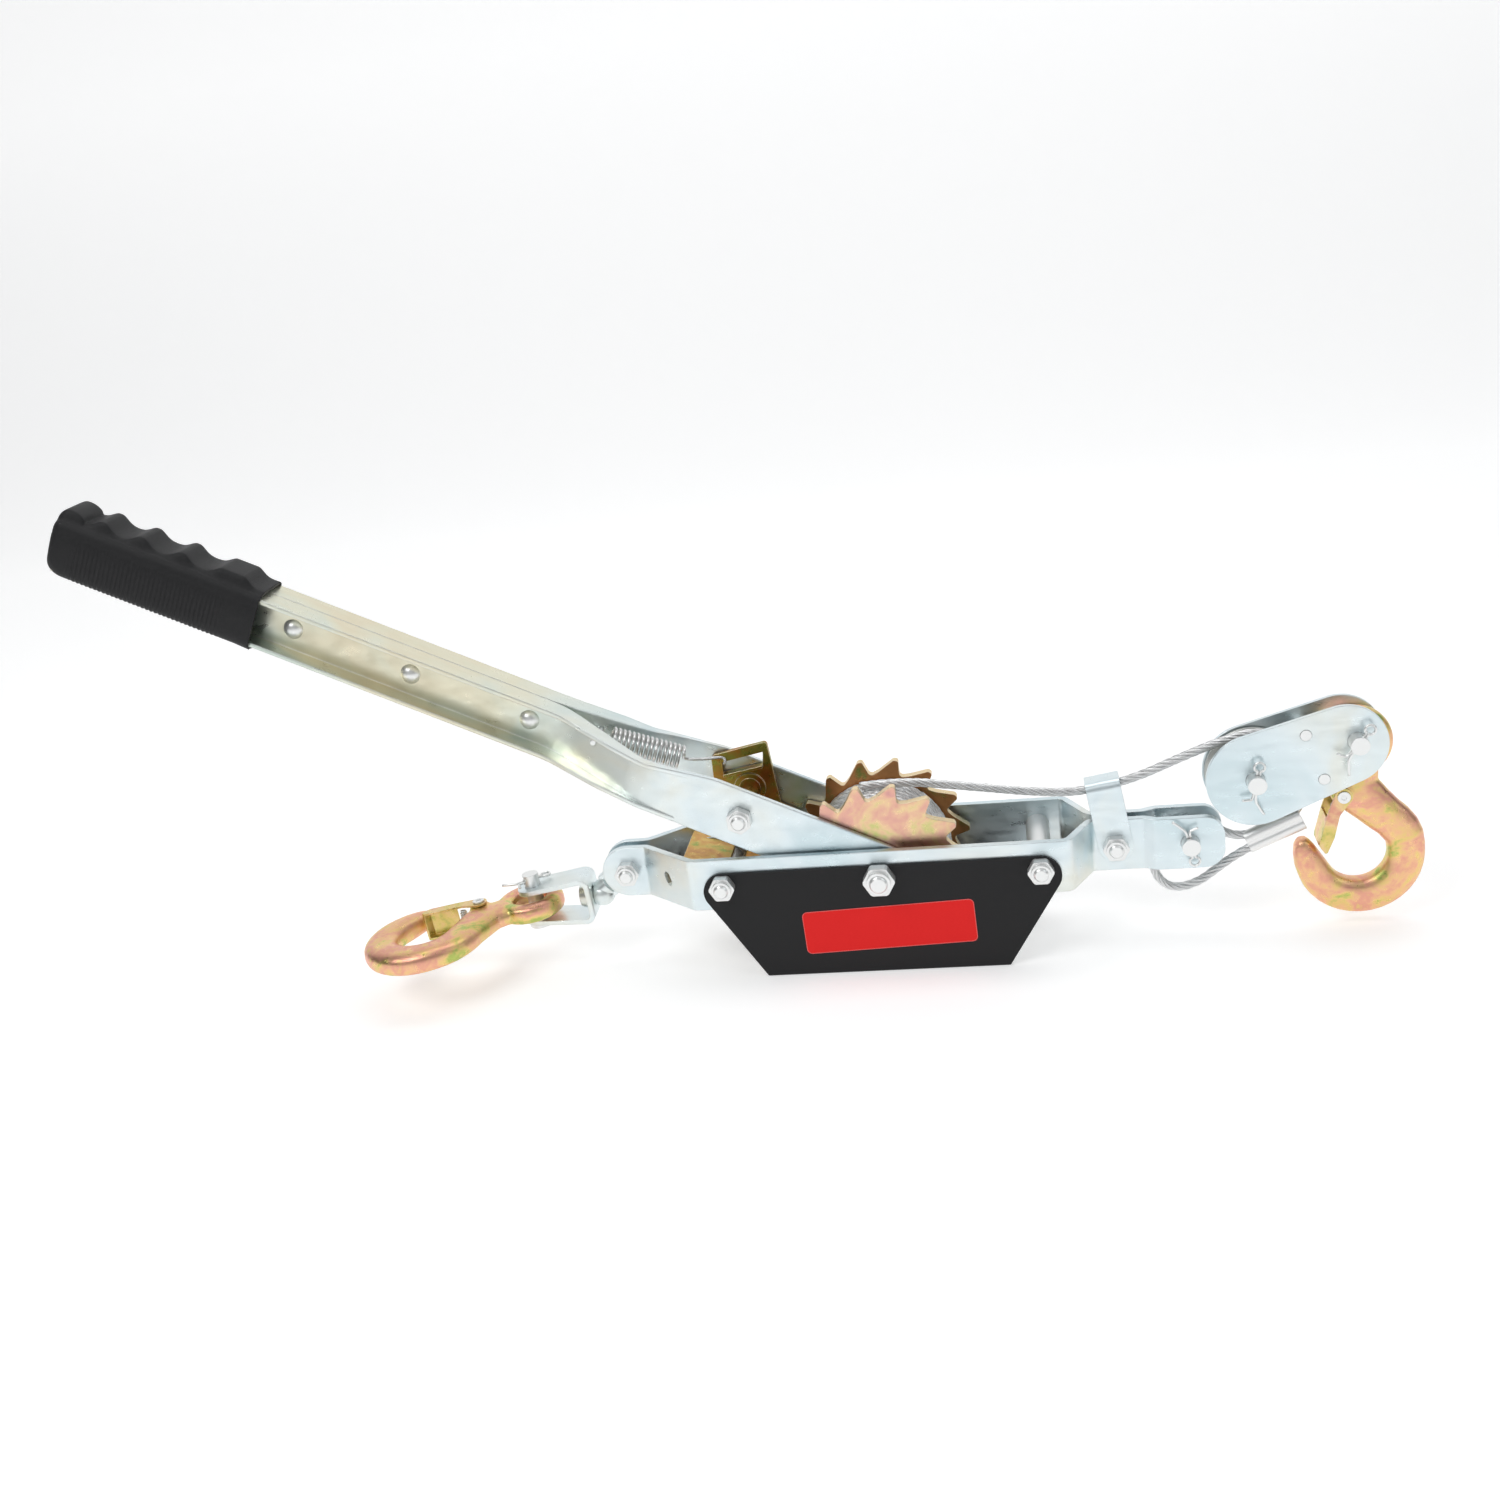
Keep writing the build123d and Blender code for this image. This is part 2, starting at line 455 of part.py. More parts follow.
# ---- hooks and latches ---------------------------------------------------------------------------------
def hook():
    """Eye hook drawn from its pin: local X along the hook, local Y to the tip side."""
    edge = [(18.0, -11.0), (25.0, -11.6), (30.0, -14.5), arc(70.0, -3.0, 34.4, -125, 80),
            arc(61.2, 27.6, 4.0, 85, 215), arc(*HOOK_BOWL, 62, -141), arc(LATCH_P, LATCH_Q, 6.2, 10, 100),
            (22.0, 11.2), (18.0, 11.0)]
    body = prism_z(edge, -HOOK_T / 2, HOOK_T / 2)
    eye_x, eye_r, hole_r = 3.5, 20.0, 9.5
    eye = Cylinder(eye_r, EYE_T) - Cylinder(hole_r, EYE_T + 2)
    eye = chamfer(eye.edges().filter_by(GeomType.CIRCLE), 1.5)
    body -= Pos(eye_x, 0, 0) * Cylinder(eye_r - 1.0, HOOK_T + 2)
    return body + Pos(eye_x, 0, 0) * eye - Pos(LATCH_P, LATCH_Q, 0) * Cylinder(LATCH_RIVET_R + RUN, HOOK_T + 2)


def latch_parts(prefix, plane):
    """Sheet latch: two leaves and a web, its rivet and its spring, in the hook's local frame."""
    p, q = LATCH_P, LATCH_Q
    leaf = [arc(p, q, 4.8, 120, 300), (43.0, 8.6, 6.0), (56.0, 11.4, 8.0), (64.6, 14.9, 0.8),
            (65.5, 16.2, 0.8), (60.5, 19.6, 4.0), (43.0, 15.2, 8.0)]
    side = prism_z(leaf, LATCH_IN, LATCH_IN + LATCH_T)
    side += mirror(side, about=Plane.XY)
    web_line = [(44.5, 15.6), (60.5, 19.6), (65.3, 16.2), (64.5, 15.1), (60.2, 18.0), (44.9, 14.2)]
    web = prism_z(web_line, -LATCH_IN - 0.2, LATCH_IN + 0.2)
    latch = side + web - Pos(p, q, 0) * Cylinder(LATCH_RIVET_R + RUN, 40)
    save(latch, prefix + "_latch", plane)
    end = LATCH_IN + LATCH_T
    head = Pos(0, 0, end + 0.55) * Cylinder(3.4, 0.9)
    dimple = Pos(0, 0, end + 1.0) * Cylinder(1.4, 0.9)
    rivet = Cylinder(LATCH_RIVET_R, 2 * end + 1.0) + head + mirror(head, about=Plane.XY)
    rivet -= dimple + mirror(dimple, about=Plane.XY)
    save(Pos(p, q, 0) * rivet, prefix + "_latch_rivet", plane)
    coil = Cylinder(LATCH_SPRING_R, 10.0) - Cylinder(LATCH_SPRING_R - 0.9, 11.0)
    leg = Pos(-1.9, -1.2, 4.55) * Rot(0, 0, 22) * Box(2.4, 0.9, 0.9)
    save(Pos(p + 9.8, q + 2.9, 0) * (coil + leg), prefix + "_latch_spring", plane)


def hook_parts():
    body = hook()
    save(body, "load_hook", LOAD_HOOK)
    save(body, "anchor_hook", ANCHOR_HOOK)
    latch_parts("load", LOAD_HOOK)
    latch_parts("anchor", ANCHOR_HOOK)


# ---- anchor swivel and bracket -------------------------------------------------------------------------
def swivel_eye():
    """Forged eye on the anchor bolt with a ball shoulder, shank and upset head, in the object's frame."""
    tongue = rod(ANCHOR_X, 0, 11.0, -2.7, 2.7)
    web = Vector(WEB_AT[0], 0, WEB_AT[1])
    start = Vector(ANCHOR_X, 0, 0)
    middle = start + (web - start) * 0.66
    slab = Plane(origin=(start + middle) / 2, x_dir=web - start, z_dir=(0, 1, 0))
    tongue += slab.location * Box((middle - start).length, 15.0, 5.4)
    neck = straight_rod(start + (web - start) * 0.6, web - (web - start) * 0.12, 6.0)
    ball = Pos(*(web - BRACKET.x_dir * 4.6)) * Sphere(7.4)
    ball &= BRACKET.location * (Pos(-10.1, 0, 0) * Box(20, 40, 40))
    shank = BRACKET.location * (Pos(2.3, 0, 0) * Rot(0, 90, 0) * Cylinder(5.0, 5.2))
    head = BRACKET.location * (Pos(5.9, 0, 0) * Rot(0, 90, 0) * Cone(8.0, 6.4, 4.8))
    body = tongue + neck + ball + shank + head
    body += BRACKET.location * (Pos(-2.0, 0, 0) * Rot(0, 90, 0) * Cylinder(5.0, 5.0))
    return body - rod(ANCHOR_X, 0, BOLT_R + RUN, -10, 10)


def hook_bracket():
    """U bracket, local X from the web to the arms, local Z across the two arms."""
    web_t, arm_t, half_w = 3.2, 3.0, 10.5
    top0, top1, reach = 14.5, 9.9, BRACKET_PIN + 11.5
    side = [(0, -top0, 6.0), (0, top0, 6.0), (reach, top1), (reach, top1 - arm_t), (web_t, top0 - arm_t, 3.0),
            (web_t, arm_t - top0, 3.0), (reach, arm_t - top1), (reach, -top1)]
    body = prism_y(side, -half_w, half_w)
    plan = [arc(BRACKET_PIN - 1.5, 0, half_w, 90, -90), (0, -half_w, 2.0), (0, half_w, 2.0)]
    body &= prism_z(plan, -20, 20)
    body -= Rot(0, 90, 0) * Cylinder(5.0 + RUN, 20)
    return body - Pos(BRACKET_PIN, 0, 0) * Cylinder(BRACKET_PIN_R + HOLE, 60)


def anchor_parts():
    save(swivel_eye(), "swivel_eye")
    save(hook_bracket(), "hook_bracket", BRACKET)
    pin = Pos(0, 0, 2.9) * Cylinder(BRACKET_PIN_R, 31.0) + Pos(0, 0, -13.2) * Cylinder(7.2, 2.6)
    pin -= Pos(0, 0, 14.5) * Rot(0, 0, 35) * (Rot(0, 90, 0) * Cylinder(1.7, 20))
    save(Pos(BRACKET_PIN, 0, 0) * pin, "bracket_pin", BRACKET)
    cotter = Rot(0, 0, 35) * (Rot(90, 0, 0) * split_pin(1.5, 1.5, 2 * BRACKET_PIN_R))
    save(Pos(BRACKET_PIN, 0, 14.5) * cotter, "bracket_cotter", BRACKET)


# ---- pulley block --------------------------------------------------------------------------------------
def block_parts():
    plate = hull_of_circles(0, BLOCK_R0, BLOCK_S1, BLOCK_R1, BLOCK_IN, BLOCK_IN + BLOCK_T)
    plate -= rod(0, 0, PIN_R + HOLE, 0, 20) + rod(HOOK_PIN_S, 0, PIN_R + HOLE, 0, 20)
    rivet_s, rivet_t, rivet_r = 33.0, 13.7, 3.0
    for t in (-rivet_t, rivet_t):
        plate -= rod(rivet_s, t, rivet_r + HOLE, 0, 20)
    face = BLOCK_IN + BLOCK_T
    save(plate, "block_back_plate", BLOCK)
    save(mirror(plate, about=Plane.XZ), "block_front_plate", BLOCK)
    for name, t in (("upper", rivet_t), ("lower", -rivet_t)):
        spacer = rod(rivet_s, t, rivet_r, -face - 0.3, face + 0.3)
        spacer += rod(rivet_s, t, rivet_r + 0.5, 0.05 - BLOCK_IN, BLOCK_IN - 0.05)
        save(spacer, f"{name}_block_rivet", BLOCK)
    cross_y = -face - 4.4
    for name, s, turn in (("sheave", 0, 120), ("hook", HOOK_PIN_S, 147)):
        pin = rod(s, 0, PIN_R, -face - 8.5, face) + rod(s, 0, PIN_R + 2.6, face, face + 3.0)
        pin -= Pos(s, cross_y, 0) * Rot(0, turn, 0) * Rot(0, 90, 0) * Cylinder(1.7, 20)
        save(pin, name + "_pin", BLOCK)
        cotter = Pos(s, cross_y, 0) * Rot(0, turn, 0) * split_pin(1.5, 2.5, 2 * PIN_R)
        save(cotter, name + "_pin_cotter", BLOCK)
    groove = SHEAVE_ROPE_R - ROPE_R - 0.45
    rim, half = 25.0, 6.6
    profile = [(PIN_R + RUN, -half), (rim, -half), (rim, -5.0), (groove, -2.0, 1.8), (groove, 2.0, 1.8),
               (rim, 5.0), (rim, half), (PIN_R + RUN, half)]
    save(revolve(outline(profile, lambda r, y: Vector(r, y, 0)), axis=Axis.Y), "sheave", BLOCK)


# ---- rope ----------------------------------------------------------------------------------------------
ROPE_ROUTE = [(-9.0, 41.6), (13.0, 43.4), (47.0, 38.4), (84.0, 32.3), (110.5, 29.8), (140.5, 35.6),
              (168.0, 47.2), (188.0, 54.8), (211.2, 60.3), (229.6, 44.2), (233.5, 11.2), (198.5, -4.2),
              (183.0, 5.2), (168.5, 9.9), (155.0, 5.2), (149.6, -8.5), (150.6, -22.5), (159.5, -31.8),
              (174.0, -29.2), (188.5, -17.5), (203.3, -8.0), (230.6, 4.0)]
FERRULE_ENDS = ((201.2, -5.9), (230.4, 7.0))


def wire_rope():
    points = [Vector(x, 0, z) for x, z in ROPE_ROUTE]
    radii = []
    for a, b, c in zip(points, points[1:], points[2:]):
        turn = (b - a).get_angle(c - b)
        shorter = min((b - a).length, (c - b).length)
        radii.append(0.45 * shorter / math.tan(math.radians(turn / 2)))
    path = FilletPolyline(*points, radius=radii)
    start = Plane(origin=points[0], z_dir=points[1] - points[0])
    tube = sweep(start * Circle(ROPE_R), path=path)
    channel = sweep(start * Circle(ROPE_R + 0.02), path=path)
    print("rope radii", [round(r, 1) for r in radii])
    print("rope length", round(path.length, 1))
    print("volume over section times length", round(tube.volume / (path.length * math.pi * ROPE_R ** 2), 4))
    return tube, channel


def rope_parts():
    tube, channel = wire_rope()
    save(tube, "wire_rope")
    a, b = (Vector(x, 0, z) for x, z in FERRULE_ENDS)
    lobe = 2.7
    axis = b - a
    side = Vector(-axis.Z, 0, axis.X).normalized() * lobe
    ferrule = straight_rod(a + side, b + side, 4.0) + straight_rod(a - side, b - side, 4.0)
    middle = Plane(origin=(a + b) / 2, x_dir=axis, z_dir=(0, 1, 0))
    ferrule += middle.location * Box(axis.length, 2 * lobe, 7.0)
    save(ferrule - channel, "ferrule")
    save(rope_clip(), "rope_clip")


os.makedirs("parts", exist_ok=True)
strap_and_guard_parts()
drum_parts()
handle_parts()
spring_parts()
holding_pawl_parts()
hook_parts()
anchor_parts()
block_parts()
rope_parts()
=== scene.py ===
"""Come along winch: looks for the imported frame.  Lengths are in millimetres until a mesh is placed."""
import json
import math
import random

import bpy
from mathutils import Matrix, Vector


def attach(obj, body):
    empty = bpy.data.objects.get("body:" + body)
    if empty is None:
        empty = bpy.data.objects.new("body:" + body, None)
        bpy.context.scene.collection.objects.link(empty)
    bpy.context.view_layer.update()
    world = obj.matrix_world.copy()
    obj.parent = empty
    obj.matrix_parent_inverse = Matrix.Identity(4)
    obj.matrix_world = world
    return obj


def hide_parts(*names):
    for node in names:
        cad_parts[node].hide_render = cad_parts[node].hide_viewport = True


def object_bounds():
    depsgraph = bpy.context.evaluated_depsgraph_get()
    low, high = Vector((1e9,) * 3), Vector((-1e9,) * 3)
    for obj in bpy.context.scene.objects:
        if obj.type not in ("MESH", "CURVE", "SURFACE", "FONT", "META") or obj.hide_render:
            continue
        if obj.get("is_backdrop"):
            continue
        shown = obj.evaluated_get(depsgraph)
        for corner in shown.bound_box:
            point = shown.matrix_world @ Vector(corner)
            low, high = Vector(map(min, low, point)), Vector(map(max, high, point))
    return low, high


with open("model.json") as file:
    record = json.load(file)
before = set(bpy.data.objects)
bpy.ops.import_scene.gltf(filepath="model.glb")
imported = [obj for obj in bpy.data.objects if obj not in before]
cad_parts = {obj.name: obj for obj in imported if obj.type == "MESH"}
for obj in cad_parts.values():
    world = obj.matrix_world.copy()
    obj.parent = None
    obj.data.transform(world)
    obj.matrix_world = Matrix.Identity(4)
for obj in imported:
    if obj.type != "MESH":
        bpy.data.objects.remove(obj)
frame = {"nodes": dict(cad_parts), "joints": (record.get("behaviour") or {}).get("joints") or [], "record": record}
CAD_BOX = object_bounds()
NODES = frame["nodes"]
JOINTS = {joint["name"]: joint for joint in frame["joints"]}
MM = 0.001

# ---- sizes, in millimetres ----------------------------------------------------------------------------
CAMERA_AT = (84.6, -887.4, 395.5)       # from the drum axle
CAMERA_AZIMUTH, CAMERA_ELEVATION, CAMERA_ROLL = 9.8, 20.0, -7.2
CAMERA_LENS = 40.86

ROPE_R, ROPE_LAY = 2.5, 30.0
ROPE_ROUTE = [(-9.0, 41.6), (13.0, 43.4), (47.0, 38.4), (84.0, 32.3), (110.5, 29.8), (140.5, 35.6),
              (168.0, 47.2), (188.0, 54.8), (211.2, 60.3), (229.6, 44.2), (233.5, 11.2), (198.5, -4.2),
              (183.0, 5.2), (168.5, 9.9), (155.0, 5.2), (149.6, -8.5), (150.6, -22.5), (159.5, -31.8),
              (174.0, -29.2), (188.5, -17.5), (203.3, -8.0), (230.6, 4.0)]
PACK_R, PACK_HALF = 39.3, 17.0

AXLE_R, BOLT_R = 5.0, 4.0               # M10 axle bolt and M8 frame bolts
GUARD_BOLT_X, ANCHOR_X, CLIP_X, CLEVIS_X = 88.0, -147.6, 129.8, 169.8
PAWL_U = 83.5                           # drive pawl bolt, along the handle
HOOK_PIN_S, BRACKET_PIN = 56.0, 36.5    # hook pin along the block, bracket pin along the bracket
SPLIT_WIRE_R = 0.78

LATCH_P, LATCH_Q = 32.4, 6.6
LATCH_TILT = math.atan2(LATCH_Q, LATCH_P)
HOOK_OUTER = (70.0, -3.0, 34.4)         # centre and radius of the hook's back, in the hook's own frame
HOOK_BOWL = (68.0, -1.5, 16.0)          # centre and radius of its bowl
EYE_AT, EYE_R, EYE_HOLE, EYE_HALF = 3.5, 20.0, 9.6, 5.5

GRIP_START, GRIP_END, GRIP_H, GRIP_Y = 376.0, 500.0, 17.3, 17.6
CHANNEL_H, CHANNEL_Y = 14.5, 15.5
BUMP_U = (491.5, 473.0, 450.0, 426.0, 396.0)
BUMP_LIFT, RIDGE_LIFT = 5.3, 0.7        # height of a bump's crest and of the ridge between bumps
RIB_U0, RIB_U1, RIB_FADE, RIB_PITCH, RIB_DEPTH = 392.0, 488.0, 8.0, 2.6, 0.22

SPRING_A, SPRING_B = (167.5, -1.2, 5.2), (126.6, -9.0, 6.6)
SPRING_EYE, SPRING_PIN = (104.6, -19.2, 9.6), (175.5, 0.0, 5.0)


# ---- places -------------------------------------------------------------------------------------------
def joint_at(name):
    return Vector(JOINTS[name]["pos_m"])


def joint_axis(name):
    return Vector(JOINTS[name]["axis"]).normalized()


def place(origin, x_dir, z_dir):
    """Matrix from local millimetres to the frame's metres."""
    x_dir = x_dir.normalized()
    z_dir = z_dir.normalized()
    matrix = Matrix((x_dir, z_dir.cross(x_dir), z_dir)).transposed().to_4x4()
    matrix.translation = origin
    return matrix @ Matrix.Scale(MM, 4)


Y_AXIS = Vector((0, 1, 0))
AXLE_AT = joint_at("drum_turn")
AXLE = place(AXLE_AT, Vector((1, 0, 0)), Vector((0, 0, 1)))
HANDLE_DIR = joint_at("drive_pawl_lift") - AXLE_AT
HANDLE = place(AXLE_AT, HANDLE_DIR, Y_AXIS.cross(HANDLE_DIR))
BLOCK_DIR = joint_at("load_hook_swing") - joint_at("sheave_turn")
BLOCK = place(joint_at("sheave_turn"), BLOCK_DIR, BLOCK_DIR.cross(Y_AXIS))
BRACKET_AXIS = joint_axis("anchor_spin")
BRACKET = place(joint_at("anchor_spin"), BRACKET_AXIS, joint_axis("anchor_hook_turn"))


def hook_place(pin_joint, latch_joint):
    """The hook's local frame: X along the hook from its pin, Y to the tip side, Z along the latch's pivot."""
    z_dir = joint_axis(latch_joint)
    to_latch = joint_at(latch_joint) - joint_at(pin_joint)
    x_dir = Matrix.Rotation(-LATCH_TILT, 3, z_dir) @ to_latch
    return place(joint_at(pin_joint), x_dir, z_dir)


LOAD_HOOK = hook_place("load_hook_swing", "load_latch_open")
ANCHOR_HOOK = hook_place("anchor_hook_turn", "anchor_latch_open")


# ---- materials ----------------------------------------------------------------------------------------
class Graph:
    """A material's node tree, with short calls for the nodes used here."""

    def __init__(self, name):
        self.material = bpy.data.materials.new(name)
        self.material.use_nodes = True
        self.tree = self.material.node_tree
        self.shader = self.tree.nodes["Principled BSDF"]

    def node(self, kind, inputs=None, **settings):
        node = self.tree.nodes.new(kind)
        for key, value in settings.items():
            setattr(node, key, value)
        for key, value in (inputs or {}).items():
            self.set(node.inputs[key], value)
        return node

    def set(self, socket, value):
        if isinstance(value, bpy.types.NodeSocket):
            self.tree.links.new(value, socket)
        else:
            socket.default_value = value

    def noise(self, scale, detail=4.0, rough=0.55, vector=None, distortion=0.0):
        inputs = {"Scale": scale, "Detail": detail, "Roughness": rough, "Distortion": distortion}
        if vector is not None:
            inputs["Vector"] = vector
        return self.node("ShaderNodeTexNoise", inputs).outputs["Fac"]

    def ramp(self, value, stops):
        ramp = self.node("ShaderNodeValToRGB", {"Fac": value})
        while len(ramp.color_ramp.elements) < len(stops):
            ramp.color_ramp.elements.new(0.5)
        for element, (position, colour) in zip(ramp.color_ramp.elements, stops):
            element.position = position
            element.color = (*colour, 1.0)
        return ramp.outputs["Color"]

    def span(self, value, low, high, from_low=0.0, from_high=1.0):
        inputs = {"Value": value, "From Min": from_low, "From Max": from_high, "To Min": low, "To Max": high}
        return self.node("ShaderNodeMapRange", inputs).outputs["Result"]

    def math(self, operation, a, b=0.0):
        return self.node("ShaderNodeMath", {0: a, 1: b}, operation=operation).outputs[0]

    def mix(self, factor, a, b, blend="MIX"):
        node = self.node("ShaderNodeMix", data_type="RGBA", blend_type=blend)
        for socket, value in ((node.inputs[0], factor), (node.inputs[6], a), (node.inputs[7], b)):
            self.set(socket, (*value, 1.0) if isinstance(value, tuple) else value)
        return node.outputs[2]

    def coordinates(self, scale=(1, 1, 1), rotation=(0, 0, 0)):
        source = self.node("ShaderNodeTexCoord").outputs["Object"]
        inputs = {"Vector": source, "Scale": scale, "Rotation": rotation}
        return self.node("ShaderNodeMapping", inputs).outputs["Vector"]

    def edges(self, radius_mm):
        """Rounded normal, and a mask of the edges within that radius."""
        bevel = self.node("ShaderNodeBevel", {"Radius": radius_mm * MM}, samples=6)
        normal = self.node("ShaderNodeNewGeometry").outputs["Normal"]
        pair = {0: bevel.outputs["Normal"], 1: normal}
        dot = self.node("ShaderNodeVectorMath", pair, operation="DOT_PRODUCT")
        mask = self.span(dot.outputs["Value"], 1.0, 0.0, 0.86, 0.995)
        return bevel.outputs["Normal"], mask

    def bump(self, height, distance_mm, strength=1.0, normal=None):
        inputs = {"Height": height, "Distance": distance_mm * MM, "Strength": strength}
        if normal is not None:
            inputs["Normal"] = normal
        return self.node("ShaderNodeBump", inputs).outputs["Normal"]

    def finish(self, **sockets):
        for key, value in sockets.items():
            self.set(self.shader.inputs[key.replace("_", " ")], value)
        return self.material


def bright_zinc(name, bevel_mm, clouds, far_clouds=None, cloudiness=0.5, grain=(1, 1, 1)):
    """Blue-white zinc plating with faint clouds, fine drawn lines and small scuffs, and a painted highlight along
    its edges.

    The clouds are four colours; with far_clouds, they change to those four beyond the handle's arms.
    """
    g = Graph(name)
    normal, edge = g.edges(bevel_mm)
    drift = g.noise(14.0, 3.0, 0.5, g.coordinates(), 0.8)
    positions = (0.34, 0.46, 0.56, 0.68)
    colour = g.mix(cloudiness, clouds[1], g.ramp(drift, list(zip(positions, clouds))))
    if far_clouds:
        where = g.node("ShaderNodeSeparateXYZ", {"Vector": g.coordinates()}).outputs["X"]
        far = g.mix(cloudiness, far_clouds[1], g.ramp(drift, list(zip(positions, far_clouds))))
        colour = g.mix(g.span(where, 1.0, 0.0, -0.20, -0.11), colour, far)
    lines = g.noise(260.0, 3.0, 0.6, g.coordinates(grain))
    specks = g.noise(900.0, 2.0, 0.5)
    colour = g.mix(g.span(specks, 0.0, 0.30, 0.62, 0.80), colour, (0.34, 0.35, 0.34))
    # painted highlight: the edges are lightened towards near-white
    colour = g.mix(g.math("MULTIPLY", edge, 0.5), colour, (0.97, 0.98, 0.98))
    rough = g.math("ADD", g.span(lines, 0.24, 0.44, 0.3, 0.7), g.span(drift, -0.04, 0.06))
    height = g.math("ADD", g.math("MULTIPLY", lines, 0.6), g.math("MULTIPLY", specks, 0.4))
    return g.finish(Base_Color=colour, Metallic=0.97, Roughness=rough,
                    Normal=g.bump(height, 0.05, 0.35, normal))


def yellow_zinc(name, bevel_mm, scale, stops, edge_highlight_gain=0.3, rim=None, sweep=0.0, grain=0.35):
    """Iridescent yellow passivate: its colours drift into each other over a slightly rough surface.

    A painted highlight colour, the rim colour, is laid on faces that look away from Y; sweep makes the drift lean
    along X.
    """
    g = Graph(name)
    normal, edge = g.edges(bevel_mm)
    drift = g.noise(scale, 3.0, 0.55, g.coordinates(), 1.2)
    fine = g.noise(scale * 5.5, 4.0, 0.6, g.coordinates(), 0.4)
    phase = g.math("ADD", g.math("MULTIPLY", drift, 0.74), g.math("MULTIPLY", fine, 0.26))
    if sweep:
        where = g.node("ShaderNodeSeparateXYZ", {"Vector": g.coordinates()}).outputs["X"]
        phase = g.math("SUBTRACT", phase, g.math("MULTIPLY", where, sweep))
    colour = g.ramp(phase, stops)
    # painted highlight: faces turned away from Y, the wheels' rims and tooth flanks, get a cream colour
    if rim:
        facing = g.node("ShaderNodeNewGeometry").outputs["True Normal"]
        sideways = g.node("ShaderNodeSeparateXYZ", {"Vector": facing}).outputs["Y"]
        colour = g.mix(g.span(g.math("ABSOLUTE", sideways), 0.85, 0.0, 0.3, 0.7), colour, rim)
    pits = g.noise(1500.0, 2.0, 0.6)
    colour = g.mix(g.span(pits, 0.0, 0.4, 0.58, 0.75), colour, (0.36, 0.26, 0.14))
    # painted highlight: the edges are lightened towards pale cream
    colour = g.mix(g.math("MULTIPLY", edge, edge_highlight_gain), colour, (0.97, 0.88, 0.66))
    rough = g.span(fine, 0.24, 0.42, 0.3, 0.7)
    height = g.math("ADD", g.math("MULTIPLY", g.noise(420.0, 3.0), 0.7), g.math("MULTIPLY", pits, 0.3))
    return g.finish(Base_Color=colour, Metallic=0.97, Roughness=rough,
                    Normal=g.bump(height, 0.14, grain, normal))


def black_paint():
    g = Graph("black_paint")
    normal, edge = g.edges(0.5)
    peel = g.noise(700.0, 2.0, 0.5)
    dust = g.span(g.noise(1900.0, 2.0, 0.5), 0.0, 1.0, 0.66, 0.76)
    colour = g.mix(g.math("MULTIPLY", dust, 0.12), (0.010, 0.010, 0.011), (0.20, 0.20, 0.20))
    # painted highlight: the edges are lightened to grey
    colour = g.mix(g.math("MULTIPLY", edge, 0.20), colour, (0.12, 0.12, 0.13))
    rough = g.span(g.noise(30.0, 3.0), 0.42, 0.52)
    return g.finish(Base_Color=colour, Roughness=rough, Specular_IOR_Level=0.28,
                    Normal=g.bump(peel, 0.05, 0.25, normal))


def red_label():
    g = Graph("red_label")
    edge = g.edges(0.9)[1]
    colour = g.mix(g.noise(60.0, 3.0), (0.80, 0.010, 0.010), (0.88, 0.020, 0.018))
    # painted highlight: the label's edges are lightened to pale red
    colour = g.mix(g.math("MULTIPLY", edge, 0.5), colour, (0.95, 0.42, 0.40))
    return g.finish(Base_Color=colour, Roughness=0.5, Specular_IOR_Level=0.2,
                    Normal=g.bump(g.noise(500.0, 2.0), 0.03, 0.2))


def grip_rubber():
    """Black moulded rubber with a fine grain and a slight bloom."""
    g = Graph("grip_rubber")
    grain = g.noise(1600.0, 3.0)
    colour = g.mix(g.noise(45.0, 4.0), (0.006, 0.006, 0.007), (0.016, 0.016, 0.017))
    rough = g.span(g.noise(120.0, 3.0), 0.44, 0.60)
    return g.finish(Base_Color=colour, Roughness=rough, Specular_IOR_Level=0.34,
                    Normal=g.bump(grain, 0.15, 0.5))


def rope_wire():
    """Bright strand; its single wires are a wave round the strand, read from the tube's own coordinates, painted
    dark in the grooves between them as shade and bright on their crowns as highlight.
    """
    g = Graph("rope_wire")
    uv = g.node("ShaderNodeUVMap", uv_map="along").outputs["UV"]
    split = g.node("ShaderNodeSeparateXYZ", {"Vector": uv})
    along = g.math("MULTIPLY", split.outputs["X"], -0.11)
    turn = g.math("ADD", along, g.math("MULTIPLY", split.outputs["Y"], 6.0))
    wave = g.math("ABSOLUTE", g.math("SINE", g.math("MULTIPLY", turn, math.pi)))
    grime = g.noise(220.0, 3.0)
    # painted shade in the grooves between the wires, painted highlight on their crowns
    colour = g.ramp(wave, [(0.0, (0.26, 0.26, 0.26)), (0.35, (0.70, 0.70, 0.69)), (1.0, (0.93, 0.94, 0.95))])
    colour = g.mix(g.span(grime, 0.0, 0.35, 0.50, 0.80), colour, (0.50, 0.49, 0.46))
    return g.finish(Base_Color=colour, Metallic=0.8, Roughness=g.span(grime, 0.24, 0.42),
                    Normal=g.bump(wave, 0.18, 0.8))


def soft_metal(name, colour, rough, bevel_mm, metallic=1.0):
    """Plain turned or pressed metal with fine marks and a painted highlight along its edges."""
    g = Graph(name)
    normal, edge = g.edges(bevel_mm)
    marks = g.noise(500.0, 4.0, 0.65)
    tone = g.mix(g.span(marks, 0.0, 0.5, 0.4, 0.7), colour, tuple(c * 0.78 for c in colour))
    # painted highlight: the edges are lightened towards near-white
    tone = g.mix(g.math("MULTIPLY", edge, 0.4), tone, (0.92, 0.92, 0.92))
    return g.finish(Base_Color=tone, Metallic=metallic, Roughness=g.span(marks, rough - 0.07, rough + 0.1),
                    Normal=g.bump(marks, 0.05, 0.4, normal))


